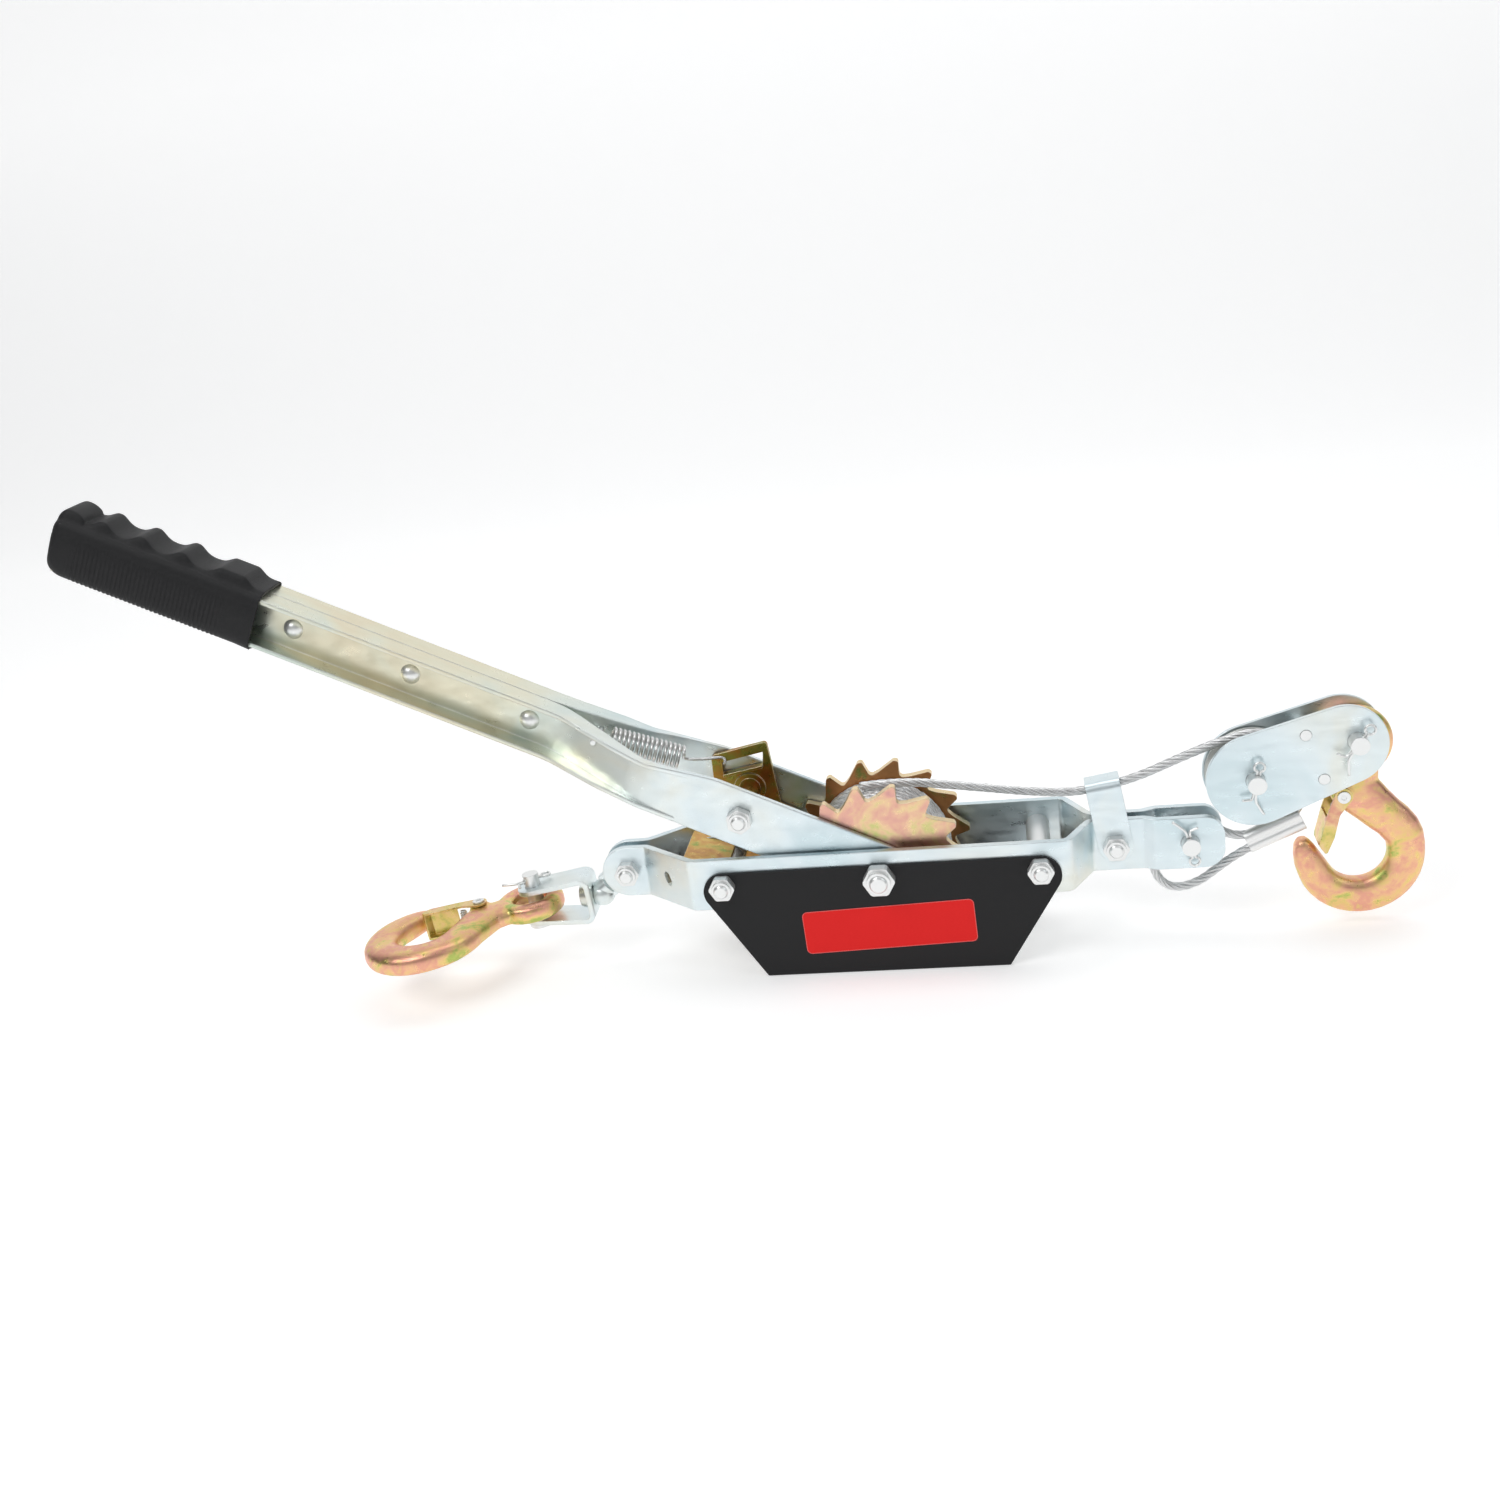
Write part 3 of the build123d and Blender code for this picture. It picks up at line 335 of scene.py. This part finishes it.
SHEET_CLOUDS = ((0.56, 0.70, 0.74), (0.76, 0.85, 0.88), (0.84, 0.88, 0.85), (0.86, 0.80, 0.64))
CREAM_CLOUDS = ((0.58, 0.70, 0.66), (0.76, 0.78, 0.66), (0.82, 0.77, 0.58), (0.82, 0.70, 0.48))
HOOK_TINTS = [(0.36, (0.46, 0.54, 0.14)), (0.43, (0.86, 0.62, 0.24)), (0.50, (0.90, 0.54, 0.30)),
              (0.58, (0.84, 0.40, 0.30)), (0.66, (0.86, 0.60, 0.26)), (0.74, (0.50, 0.54, 0.16))]
LATCH_TINTS = [(0.34, (0.34, 0.42, 0.10)), (0.44, (0.74, 0.60, 0.20)), (0.54, (0.86, 0.62, 0.32)),
               (0.66, (0.74, 0.36, 0.26))]
WHEEL_TINTS = [(0.36, (0.58, 0.62, 0.22)), (0.45, (0.86, 0.62, 0.36)), (0.55, (0.82, 0.46, 0.36)),
               (0.68, (0.72, 0.36, 0.36))]
# painted shade: the back ratchet wheel's tints are darker copies of the front wheel's, for the shade it sits in
SHADED_BACK_WHEEL_TINTS = [(0.36, (0.20, 0.22, 0.06)), (0.46, (0.44, 0.21, 0.08)), (0.58, (0.52, 0.25, 0.10)),
                    (0.68, (0.36, 0.16, 0.08))]
DRIVE_PAWL_TINTS = [(0.36, (0.20, 0.24, 0.05)), (0.46, (0.30, 0.27, 0.05)), (0.55, (0.42, 0.20, 0.04)),
                    (0.66, (0.42, 0.15, 0.04))]
HOLDING_PAWL_TINTS = [(0.36, (0.30, 0.38, 0.07)), (0.47, (0.66, 0.46, 0.12)), (0.58, (0.66, 0.36, 0.10)),
                      (0.68, (0.56, 0.26, 0.10))]
# cream painted highlight for the wheels' rims and tooth flanks
RIM_HIGHLIGHT_CREAM = (0.88, 0.72, 0.44)

MATERIALS = {
    "zinc": bright_zinc("zinc_sheet", 0.7, SHEET_CLOUDS, grain=(0.25, 1.0, 1.0)),
    "handle_zinc": bright_zinc("zinc_handle", 1.6, SHEET_CLOUDS, CREAM_CLOUDS, 0.6, (0.3, 1.0, 0.6)),
    "fastener_zinc": soft_metal("zinc_fastener", (0.92, 0.93, 0.92), 0.30, 0.45, 0.75),
    "yellow_zinc": yellow_zinc("yellow_zinc_sheet", 0.6, 46.0, LATCH_TINTS),
    "hook_zinc": yellow_zinc("yellow_zinc_forging", 0.3, 40.0, HOOK_TINTS, grain=0.5),
    "wheel_zinc": yellow_zinc("yellow_zinc_wheel", 0.6, 34.0, WHEEL_TINTS, 0.5, RIM_HIGHLIGHT_CREAM, 1.2),
    # painted shade: a darker copy of the wheel material for the back wheel
    "shaded_back_wheel_zinc": yellow_zinc("yellow_zinc_back_wheel_shaded", 0.6, 34.0, SHADED_BACK_WHEEL_TINTS, 0.5, RIM_HIGHLIGHT_CREAM),
    "drive_pawl_zinc": yellow_zinc("yellow_zinc_drive_pawl", 0.6, 46.0, DRIVE_PAWL_TINTS, 0.8),
    "holding_pawl_zinc": yellow_zinc("yellow_zinc_holding_pawl", 0.6, 46.0, HOLDING_PAWL_TINTS, 0.6),
    "black_paint": black_paint(),
    "red_label": red_label(),
    "rubber": grip_rubber(),
    "rope_steel": rope_wire(),
    "ferrule_aluminium": soft_metal("ferrule_aluminium", (0.93, 0.93, 0.92), 0.38, 0.6, 0.75),
    "spring_steel": soft_metal("spring_wire", (0.74, 0.74, 0.73), 0.26, 0.1, 0.9),
    "sheave_iron": soft_metal("sheave_iron", (0.60, 0.61, 0.58), 0.34, 0.5),
}
NODE_MATERIALS = {"front_handle_half": "handle_zinc", "back_handle_half": "handle_zinc",
                  "front_ratchet_wheel": "wheel_zinc", "back_ratchet_wheel": "shaded_back_wheel_zinc",
                  "drive_pawl": "drive_pawl_zinc", "holding_pawl": "holding_pawl_zinc"}


# ---- mesh building ------------------------------------------------------------------------------------
def add_piece(name, verts, faces, where, body, material, uvs=None, stands_for=()):
    """A smooth mesh piece placed from local millimetres, riding on its body."""
    mesh = bpy.data.meshes.new(name)
    mesh.from_pydata([where @ Vector(v) for v in verts], [], faces)
    if uvs:
        layer = mesh.uv_layers.new(name="along")
        for loop in mesh.loops:
            layer.data[loop.index].uv = uvs[loop.vertex_index]
    mesh.validate()
    for polygon in mesh.polygons:
        polygon.use_smooth = True
    piece = bpy.data.objects.new(name, mesh)
    bpy.context.scene.collection.objects.link(piece)
    piece.data.materials.append(MATERIALS[material])
    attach(piece, body)
    if stands_for:
        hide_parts(*stands_for)
    return piece


def frames_along(path):
    """Points with two perpendicular directions carried along without twist, and the distance so far."""
    points = [Vector(p) for p in path]
    side = None
    travelled = 0.0
    for i, point in enumerate(points):
        ahead = points[min(i + 1, len(points) - 1)] - points[max(i - 1, 0)]
        ahead.normalize()
        if side is None:
            side = ahead.orthogonal().normalized()
        side = (side - ahead * side.dot(ahead)).normalized()
        if i:
            travelled += (point - points[i - 1]).length
        yield point, side, ahead.cross(side), travelled


def tube(path, radius, sides=10):
    """Verts, faces and (distance, turn) coordinates of a capped round tube."""
    verts, faces, uvs = [], [], []
    ring = sides + 1
    for point, side, up, travelled in frames_along(path):
        for k in range(ring):
            angle = 2 * math.pi * k / sides
            verts.append(point + (side * math.cos(angle) + up * math.sin(angle)) * radius)
            uvs.append((travelled, k / sides))
    rings = len(verts) // ring
    for i in range(rings - 1):
        for k in range(sides):
            a = i * ring + k
            faces.append((a, a + 1, a + ring + 1, a + ring))
    faces.append(tuple(range(sides))[::-1])
    faces.append(tuple((rings - 1) * ring + k for k in range(sides)))
    return verts, faces, uvs


def merge(parts):
    """Several (verts, faces, uvs) as one."""
    verts, faces, uvs = [], [], []
    for more_verts, more_faces, more_uvs in parts:
        base = len(verts)
        verts += more_verts
        uvs += more_uvs
        faces += [tuple(base + i for i in face) for face in more_faces]
    return verts, faces, uvs


def evenly(path, step):
    """The same line with points a step apart."""
    points = [Vector(p) for p in path]
    lengths = [(b - a).length for a, b in zip(points, points[1:])]
    count = max(2, round(sum(lengths) / step))
    spacing = sum(lengths) / count
    out, i, passed = [points[0]], 0, 0.0
    for k in range(1, count):
        while passed + lengths[i] < k * spacing:
            passed += lengths[i]
            i += 1
        out.append(points[i].lerp(points[i + 1], (k * spacing - passed) / lengths[i]))
    return out + [points[-1]]


def stranded(path, radius, lay, sides):
    """Six strands laid round a core along the path."""
    frames = list(frames_along(path))
    parts = [tube(path, radius * 0.5, 8)]
    for k in range(6):
        strand = []
        for point, side, up, travelled in frames:
            angle = 2 * math.pi * (travelled / lay + k / 6)
            strand.append(point + (side * math.cos(angle) + up * math.sin(angle)) * radius * 0.655)
        parts.append(tube(strand, radius * 0.345, sides))
    return merge(parts)


def helix(start, end, radius, turns, steps=20):
    """Coil of a spring between two points."""
    start, end = Vector(start), Vector(end)
    axis = end - start
    side = axis.orthogonal().normalized()
    up = axis.normalized().cross(side)
    count = int(turns * steps)
    path = []
    for i in range(count + 1):
        angle = 2 * math.pi * turns * i / count
        path.append(start + axis * i / count + (side * math.cos(angle) + up * math.sin(angle)) * radius)
    return path


def smooth_path(points, per_run=8):
    """Catmull-Rom line through the points."""
    points = [Vector(p) for p in points]
    padded = [points[0] * 2 - points[1]] + points + [points[-1] * 2 - points[-2]]
    path = []
    for a, b, c, d in zip(padded, padded[1:], padded[2:], padded[3:]):
        for k in range(per_run):
            t = k / per_run
            path.append(0.5 * (2 * b + (c - a) * t + (2 * a - 5 * b + 4 * c - d) * t * t
                               + (3 * b - 3 * c + d - a) * t ** 3))
    return path + [points[-1]]


def superellipse(count, power):
    """Unit outline with flattened sides."""
    outline = []
    for k in range(count):
        angle = 2 * math.pi * k / count
        x, y = math.cos(angle), math.sin(angle)
        outline.append((math.copysign(abs(x) ** (2 / power), x), math.copysign(abs(y) ** (2 / power), y)))
    return outline


def loft(rings, closed=False):
    """Skin over equal rings of points; the ends are capped unless the loft closes on itself."""
    size = len(rings[0])
    verts = [v for ring in rings for v in ring]
    faces = []
    pairs = range(len(rings) if closed else len(rings) - 1)
    for i in pairs:
        j = (i + 1) % len(rings)
        for k in range(size):
            m = (k + 1) % size
            faces.append((i * size + k, i * size + m, j * size + m, j * size + k))
    if not closed:
        faces.append(tuple(range(size))[::-1])
        faces.append(tuple((len(rings) - 1) * size + k for k in range(size)))
    return verts, faces


def apply_modifiers(piece):
    """Bakes the piece's modifiers into its mesh."""
    graph = bpy.context.evaluated_depsgraph_get()
    baked = bpy.data.meshes.new_from_object(piece.evaluated_get(graph))
    piece.modifiers.clear()
    piece.data = baked
    for polygon in baked.polygons:
        polygon.use_smooth = True


# ---- rope ---------------------------------------------------------------------------------------------
def route_points():
    """The route's own smooth line, in metres."""
    curve = bpy.data.curves.new("rope_route", "CURVE")
    curve.dimensions = "3D"
    spline = curve.splines.new("NURBS")
    spline.points.add(len(ROPE_ROUTE) - 1)
    for point, (x, z) in zip(spline.points, ROPE_ROUTE):
        point.co = (*(AXLE @ Vector((x, 0, z))), 1.0)
    spline.order_u = 3
    spline.use_endpoint_u = True
    spline.resolution_u = 16
    holder = bpy.data.objects.new("rope_route", curve)
    bpy.context.scene.collection.objects.link(holder)
    bpy.context.view_layer.update()
    line = bpy.data.meshes.new_from_object(holder)
    points = [vertex.co.copy() for vertex in line.vertices]
    bpy.data.objects.remove(holder)
    return points


def make_rope():
    points = evenly([p / MM for p in route_points()], 1.5)
    length = sum((b - a).length for a, b in zip(points, points[1:])) * MM
    verts, faces, uvs = stranded(points, ROPE_R, ROPE_LAY, 8)
    rope = add_piece("live_rope", verts, faces, Matrix.Scale(MM, 4), "frame", "rope_steel", uvs,
                     ("wire_rope",))


def make_wound_rope():
    """The rope lying in neat turns on the drum, outermost layer only, over a plain pack."""
    turns = 2 * (PACK_HALF - ROPE_R) / (2 * ROPE_R) + 0.6
    centre_r = PACK_R - ROPE_R
    steps = 72
    path = []
    for i in range(int(turns * steps) + 1):
        angle = 2 * math.pi * i / steps
        y = -PACK_HALF + ROPE_R + (2 * PACK_HALF - 2 * ROPE_R) * i / int(turns * steps)
        path.append((centre_r * math.cos(angle), y, centre_r * math.sin(angle)))
    core = [(0, y, 0) for y in (-PACK_HALF, PACK_HALF)]
    parts = merge([stranded(path, ROPE_R, ROPE_LAY, 6), tube(core, centre_r - 1.0, 64)])
    add_piece("rope_turns", parts[0], parts[1], AXLE, "winding_drum", "rope_steel", parts[2],
              ("wound_rope",))


# ---- hooks --------------------------------------------------------------------------------------------
def hook_stations():
    """Outer and inner edge of the hook and its half thickness, from the neck round to the tip."""
    stations = [((17.0, -12.8), (17.0, 12.0), 5.6), ((26.0, -12.7), (26.0, 11.6), 6.2),
                ((33.0, -18.2), (37.0, 10.6), 6.9), ((38.6, -23.0), (43.0, 5.4), 7.0),
                ((44.0, -28.6), (48.4, -1.2), 7.0), ((50.0, -33.2), (53.0, -6.4), 7.0),
                ((56.8, -36.2), (57.4, -12.0), 7.0), ((64.0, -37.3), (63.2, -16.8), 7.0)]
    for degrees in range(-90, 61, 10):
        c, s = math.cos(math.radians(degrees)), math.sin(math.radians(degrees))
        edges = [(x + r * c, y + r * s) for x, y, r in (HOOK_OUTER, HOOK_BOWL)]
        stations.append((*edges, 7.0))
    stations += [((81.0, 29.4), (72.4, 14.6), 6.9), ((74.5, 31.4), (67.6, 17.7), 6.6),
                 ((68.0, 32.0), (63.2, 20.6), 6.0), ((62.6, 31.6), (60.0, 23.2), 5.2),
                 ((59.6, 30.0), (58.3, 25.4), 3.8)]
    return stations


def forged_bar():
    section = superellipse(24, 2.7)
    rings = []
    for outer, inner, half in hook_stations():
        outer, inner = Vector((*outer, 0)), Vector((*inner, 0))
        middle, across = (outer + inner) / 2, (outer - inner) / 2
        rings.append([middle + across * x + Vector((0, 0, half * y)) for x, y in section])
    return loft(rings)


def forged_eye():
    section = superellipse(20, 3.0)
    middle, half = (EYE_R + EYE_HOLE) / 2, (EYE_R - EYE_HOLE) / 2
    rings = []
    for k in range(48):
        angle = 2 * math.pi * k / 48
        out = Vector((math.cos(angle), math.sin(angle), 0))
        centre = Vector((EYE_AT, 0, 0))
        rings.append([centre + out * (middle + half * x) + Vector((0, 0, EYE_HALF * y)) for x, y in section])
    return loft(rings, closed=True)


def latch_boss():
    section = [(math.cos(math.radians(a)), math.sin(math.radians(a))) for a in range(0, 360, 15)]
    rings = []
    for half, radius in ((-6.9, 5.3), (-6.2, 6.1), (6.2, 6.1), (6.9, 5.3)):
        rings.append([Vector((LATCH_P + radius * x, LATCH_Q + radius * y, half)) for x, y in section])
    return loft(rings)


def make_hook(name, node, where, body):
    """One forging: bar, eye and latch boss melted together and smoothed."""
    lofts = (forged_bar(), forged_eye(), latch_boss())
    verts, faces, _ = merge([(verts, faces, [(0, 0)] * len(verts)) for verts, faces in lofts])
    piece = add_piece(name, verts, faces, where, body, "hook_zinc", stands_for=(node,))
    melt = piece.modifiers.new("melt", "REMESH")
    melt.mode = "VOXEL"
    melt.voxel_size = 0.8 * MM
    relax = piece.modifiers.new("relax", "SMOOTH")
    relax.factor = 0.5
    relax.iterations = 6
    apply_modifiers(piece)


# ---- springs and split pins ---------------------------------------------------------------------------
def make_drive_spring():
    a, b = Vector(SPRING_A), Vector(SPRING_B)
    coil = helix(b, a, 6.5, 15.5)
    pin, eye = Vector(SPRING_PIN), Vector(SPRING_EYE)
    round_pin = [pin + Vector(step) for step in ((-2.4, 0, 2.2), (0, 0, 3.0), (2.6, 0, 0.6), (0.8, 0, -2.5))]
    near_tail = smooth_path([coil[-1], a + (a - b) * 0.04] + round_pin)
    far_tail = smooth_path([coil[0], b + (b - a) * 0.05, b.lerp(eye, 0.5), eye + Vector((1.0, 0, 1.6)),
                            eye + Vector((-1.6, 0.4, 1.2)), eye + Vector((-2.2, 1.2, -1.4))])
    path = far_tail[::-1] + coil[1:-1] + near_tail
    verts, faces, uvs = tube(evenly(path, 0.9), 0.95, 8)
    add_piece("drive_spring_coil", verts, faces, HANDLE, "handle", "spring_steel", uvs,
              ("drive_pawl_spring",))


def make_holding_spring():
    coil = helix((-GUARD_BOLT_X, 8.0, 0), (-GUARD_BOLT_X, 17.0, 0), 6.7, 5.0)
    leg = smooth_path([coil[0], coil[0] + Vector((-3, 0, 8)), (-106.0, 8.5, 11.0)])
    verts, faces, uvs = tube(leg[::-1] + coil[1:], 0.75, 8)
    add_piece("holding_spring_coil", verts, faces, AXLE, "frame", "spring_steel", uvs,
              ("holding_pawl_spring",))


def make_latch_spring(name, node, where, body):
    centre = Vector((LATCH_P + 9.8, LATCH_Q + 2.9, 0))
    coil = helix(centre + Vector((0, 0, -4.9)), centre + Vector((0, 0, 4.9)), 1.7, 8.0, 14)
    verts, faces, uvs = tube(coil, 0.5, 6)
    add_piece(name, verts, faces, where, body, "spring_steel", uvs, (node,))


def split_pin_wire(grip, reach):
    """Doubled wire: a long leg bent outwards, the round eye, and a short leg bent the other way."""
    leg_end = grip / 2 + reach
    eye_x = -grip / 2 - 4.4
    eye = [(eye_x + 2.7 * math.cos(a), 0, 2.7 * math.sin(a))
           for a in (math.radians(d) for d in range(40, 321, 28))]
    upper = [(leg_end + 9.6, 0, 6.6), (leg_end + 5.4, 0, 3.2), (leg_end + 0.8, 0, 0.8),
             (-grip / 2 - 1.0, 0, 0.75)]
    lower = [(-grip / 2 - 1.0, 0, -0.75), (leg_end + 0.4, 0, -0.8), (leg_end + 2.4, 0, -2.8),
             (leg_end + 3.0, 0, -6.0)]
    return smooth_path(upper + eye + lower, 5)


def make_split_pin(node, where, body, grip, reach):
    verts, faces, uvs = tube(split_pin_wire(grip, reach), SPLIT_WIRE_R, 8)
    add_piece(node + "_wire", verts, faces, where, body, "fastener_zinc", uvs, (node,))


def turned(degrees, axis):
    return Matrix.Rotation(math.radians(degrees), 4, axis)


def make_split_pins():
    clevis = AXLE @ Matrix.Translation((CLEVIS_X, -13.8, 0)) @ turned(259, "Y")
    make_split_pin("clevis_cotter", clevis, "frame", 10.0, 1.5)
    for node, s, turn in (("sheave_pin_cotter", 0.0, 120), ("hook_pin_cotter", HOOK_PIN_S, 147)):
        where = BLOCK @ Matrix.Translation((s, -14.4, 0)) @ turned(turn, "Y")
        make_split_pin(node, where, "block", 10.0, 2.5)
    upright = BRACKET @ Matrix.Translation((BRACKET_PIN, 0, 14.5)) @ turned(35, "Z") @ turned(90, "X")
    make_split_pin("bracket_cotter", upright, "anchor_bracket", 9.6, 1.5)


# ---- grip ---------------------------------------------------------------------------------------------
def bump_height(u):
    """Lift of the grip's top at this place: a knob at the end, narrow crests, a broad lip at the mouth."""
    shape = 0.0
    for i, centre in enumerate(BUMP_U):
        away = abs(u - centre)
        if i == 0:
            shape = max(shape, math.sqrt(max(0.0, 1 - (away / 8.0) ** 2)))
        else:
            flat = 6.0 if i == len(BUMP_U) - 1 else 0.5
            away = max(0.0, away - flat)
            shape = max(shape, math.exp(-(away / 5.4) ** 2))
    return RIDGE_LIFT + (BUMP_LIFT - RIDGE_LIFT) * shape


def end_round(from_end, radius):
    """How far the end has closed in, from 0 at the tip to 1 past the radius."""
    return math.sqrt(max(0.0, 1 - (1 - min(1.0, max(0.0, from_end) / radius)) ** 2))


def grip_ring(u, collar, outline):
    """Rounded section: a ribbed lower body, a shoulder, and a narrower top lifted by the bumps."""
    ring = []
    ribbed = min(1.0, max(0.0, (u - RIB_U0) / RIB_FADE), max(0.0, (RIB_U1 - u) / RIB_FADE))
    rib = RIB_DEPTH * ribbed * math.sin(2 * math.pi * u / RIB_PITCH)
    for x, z in outline:
        grow = 0.62 + 0.38 * end_round(GRIP_END - u, 7.0 + 5.0 * max(0.0, -z)) + collar
        upper = min(1.0, max(0.0, (z - 0.42) / 0.06))
        ridge = min(1.0, max(0.0, (0.80 - abs(x)) / 0.14))
        ridge = ridge * ridge * (3 - 2 * ridge)
        lift = bump_height(u) * ridge * min(1.0, max(0.0, (z - 0.45) / 0.5)) * min(1.0, grow)
        side = (GRIP_Y - 0.6 * upper) * grow
        lower = 1.0 - upper
        ring.append(Vector((u, x * (side + rib * lower), z * (GRIP_H * grow + rib * lower) + lift)))
    return ring


def make_grip():
    outline = superellipse(96, 6.0)
    rng = random.Random(4)
    mouth = [Vector((GRIP_START + 8, x * CHANNEL_Y * 1.01, z * CHANNEL_H * 1.01))
             for x, z in superellipse(96, 14)]
    lip = [Vector((GRIP_START + 0.8, v.y * 1.01, v.z * 1.01)) for v in mouth]
    rings = [mouth, lip]
    steps = 260
    for i in range(steps + 1):
        t = i / steps
        u = GRIP_START + (GRIP_END - 0.2 - GRIP_START) * t
        collar = 0.02 * max(0.0, 1 - (u - GRIP_START) / 9.0)
        ring = grip_ring(u, collar, outline)
        if u < GRIP_START + 1.5:
            ring = [v + Vector((rng.uniform(-0.3, 0.3), 0, 0)) for v in ring]
        rings.append(ring)
    verts, faces = loft(rings)
    faces = faces[:-2] + [faces[-1]]
    uvs = [(v.x, v.z) for v in verts]
    add_piece("grip_sleeve", verts, faces, HANDLE, "handle", "rubber", uvs, ("grip",))


# ---- threads on the bolts' tips -----------------------------------------------------------------------
def make_thread(name, where, body, centre, radius, y_near, y_far, pitch):
    """Thread ridge round a bolt's tip."""
    turns = abs(y_far - y_near) / pitch
    path = helix((centre[0], y_near, centre[1]), (centre[0], y_far, centre[1]), radius - 0.12, turns, 24)
    verts, faces, uvs = tube(path, 0.32, 5)
    add_piece(name, verts, faces, where, body, "fastener_zinc", uvs)


def make_threads():
    make_thread("axle_thread", AXLE, "frame", (0, 0), AXLE_R, -43.0, -33.0, 1.5)
    for name, x, y_near, y_far in (("left_guard_thread", -GUARD_BOLT_X, -41.4, -33.0),
                                   ("right_guard_thread", GUARD_BOLT_X, -41.4, -33.0),
                                   ("anchor_thread", ANCHOR_X, -14.6, -8.0),
                                   ("clip_thread", CLIP_X, -16.2, -9.5)):
        make_thread(name, AXLE, "frame", (x, 0), BOLT_R, y_near, y_far, 1.25)
    make_thread("pawl_thread", HANDLE, "handle", (PAWL_U, 0), BOLT_R, 34.2, 27.5, 1.25)


# ---- scene --------------------------------------------------------------------------------------------
def paint_nodes():
    """Every carried-over CAD node gets the material of its slot."""
    slots = {part["node"]: part["material_slot"] for part in frame["record"]["subparts"]}
    for node, piece in NODES.items():
        material = MATERIALS[NODE_MATERIALS.get(node, slots[node])]
        piece.data.materials.clear()
        piece.data.materials.append(material)


def make_camera():
    azimuth, elevation, roll = (math.radians(a) for a in (CAMERA_AZIMUTH, CAMERA_ELEVATION, CAMERA_ROLL))
    back = Vector((math.sin(azimuth) * math.cos(elevation), -math.cos(azimuth) * math.cos(elevation),
                   math.sin(elevation)))
    level = Vector((math.cos(azimuth), math.sin(azimuth), 0))
    upright = back.cross(level)
    right = level * math.cos(roll) + upright * math.sin(roll)
    up = upright * math.cos(roll) - level * math.sin(roll)
    matrix = Matrix((right, up, back)).transposed().to_4x4()
    matrix.translation = AXLE @ Vector(CAMERA_AT)
    data = bpy.data.cameras.new("camera")
    data.lens = CAMERA_LENS
    data.sensor_width = 36.0
    data.clip_start = 0.01
    camera = bpy.data.objects.new("camera", data)
    camera.matrix_world = matrix
    bpy.context.scene.collection.objects.link(camera)
    bpy.context.scene.camera = camera


def add_area(name, at, aim, size, power, colour=(1, 1, 1)):
    data = bpy.data.lights.new(name, "AREA")
    data.shape = "RECTANGLE"
    data.size, data.size_y = size
    data.energy = power
    data.color = colour
    light = bpy.data.objects.new(name, data)
    light.location = at
    light.rotation_euler = (Vector(at) - Vector(aim)).to_track_quat("Z", "Y").to_euler()
    bpy.context.scene.collection.objects.link(light)


def make_world():
    """Studio surroundings: the same brightness overhead and low down, darkest to both sides."""
    world = bpy.data.worlds.new("studio")
    bpy.context.scene.world = world
    world.use_nodes = True
    tree = world.node_tree
    direction = tree.nodes.new("ShaderNodeTexCoord").outputs["Generated"]
    split = tree.nodes.new("ShaderNodeSeparateXYZ")
    tree.links.new(direction, split.inputs["Vector"])
    side = tree.nodes.new("ShaderNodeMath")
    side.operation = "ABSOLUTE"
    tree.links.new(split.outputs["X"], side.inputs[0])
    bright = tree.nodes.new("ShaderNodeMapRange")
    for key, value in {"From Min": 0.35, "From Max": 0.95, "To Min": 0.34, "To Max": 0.08}.items():
        bright.inputs[key].default_value = value
    tree.links.new(side.outputs[0], bright.inputs["Value"])
    sky = tree.nodes["Background"]
    sky.inputs["Color"].default_value = (0.96, 0.98, 1.0, 1)
    tree.links.new(bright.outputs["Result"], sky.inputs["Strength"])


def make_lights():
    add_area("key", (-0.9, -1.0, 1.5), (0, 0, 0.05), (1.0, 0.7), 11)
    add_area("fill", (1.3, -0.7, 0.9), (0, 0, 0.05), (0.5, 1.2), 3.5, (0.93, 0.97, 1.0))
    add_area("top", (0.0, 0.3, 1.6), (0, 0, 0), (1.8, 0.6), 7)


def make_backdrop():
    """White sheet: flat under the object, curved up behind it."""
    half, flat, radius, top, steps = 4.0, 1.2, 0.6, 3.0, 16
    line = [(-3.0, 0.0), (flat, 0.0)]
    for i in range(1, steps + 1):
        angle = math.pi / 2 * i / steps
        line.append((flat + radius * math.sin(angle), radius * (1 - math.cos(angle))))
    line.append((flat + radius, top))
    verts = [(x, y, z) for y, z in line for x in (-half, half)]
    faces = [(2 * i, 2 * i + 1, 2 * i + 3, 2 * i + 2) for i in range(len(line) - 1)]
    mesh = bpy.data.meshes.new("backdrop")
    mesh.from_pydata(verts, [], faces)
    for polygon in mesh.polygons:
        polygon.use_smooth = True
    sheet = bpy.data.objects.new("backdrop", mesh)
    bpy.context.scene.collection.objects.link(sheet)
    g = Graph("backdrop")
    sheet.data.materials.append(g.finish(Base_Color=(0.80, 0.80, 0.80, 1), Roughness=0.8,
                                         Emission_Color=(1, 1, 1, 1), Emission_Strength=0.42))
    sheet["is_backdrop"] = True


bpy.context.scene.view_settings.view_transform = "Standard"
make_camera()
make_rope()
make_wound_rope()
paint_nodes()
make_hook("load_hook_forging", "load_hook", LOAD_HOOK, "load_hook_body")
make_hook("anchor_hook_forging", "anchor_hook", ANCHOR_HOOK, "anchor_hook_body")
make_drive_spring()
make_holding_spring()
make_latch_spring("load_latch_coil", "load_latch_spring", LOAD_HOOK, "load_hook_body")
make_latch_spring("anchor_latch_coil", "anchor_latch_spring", ANCHOR_HOOK, "anchor_hook_body")
make_split_pins()
make_grip()
make_threads()
make_world()
make_lights()
make_backdrop()

lines = [[list(corner) for corner in box] for box in (CAD_BOX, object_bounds())]
"\n".join(json.dumps(line) for line in lines) + "\n"
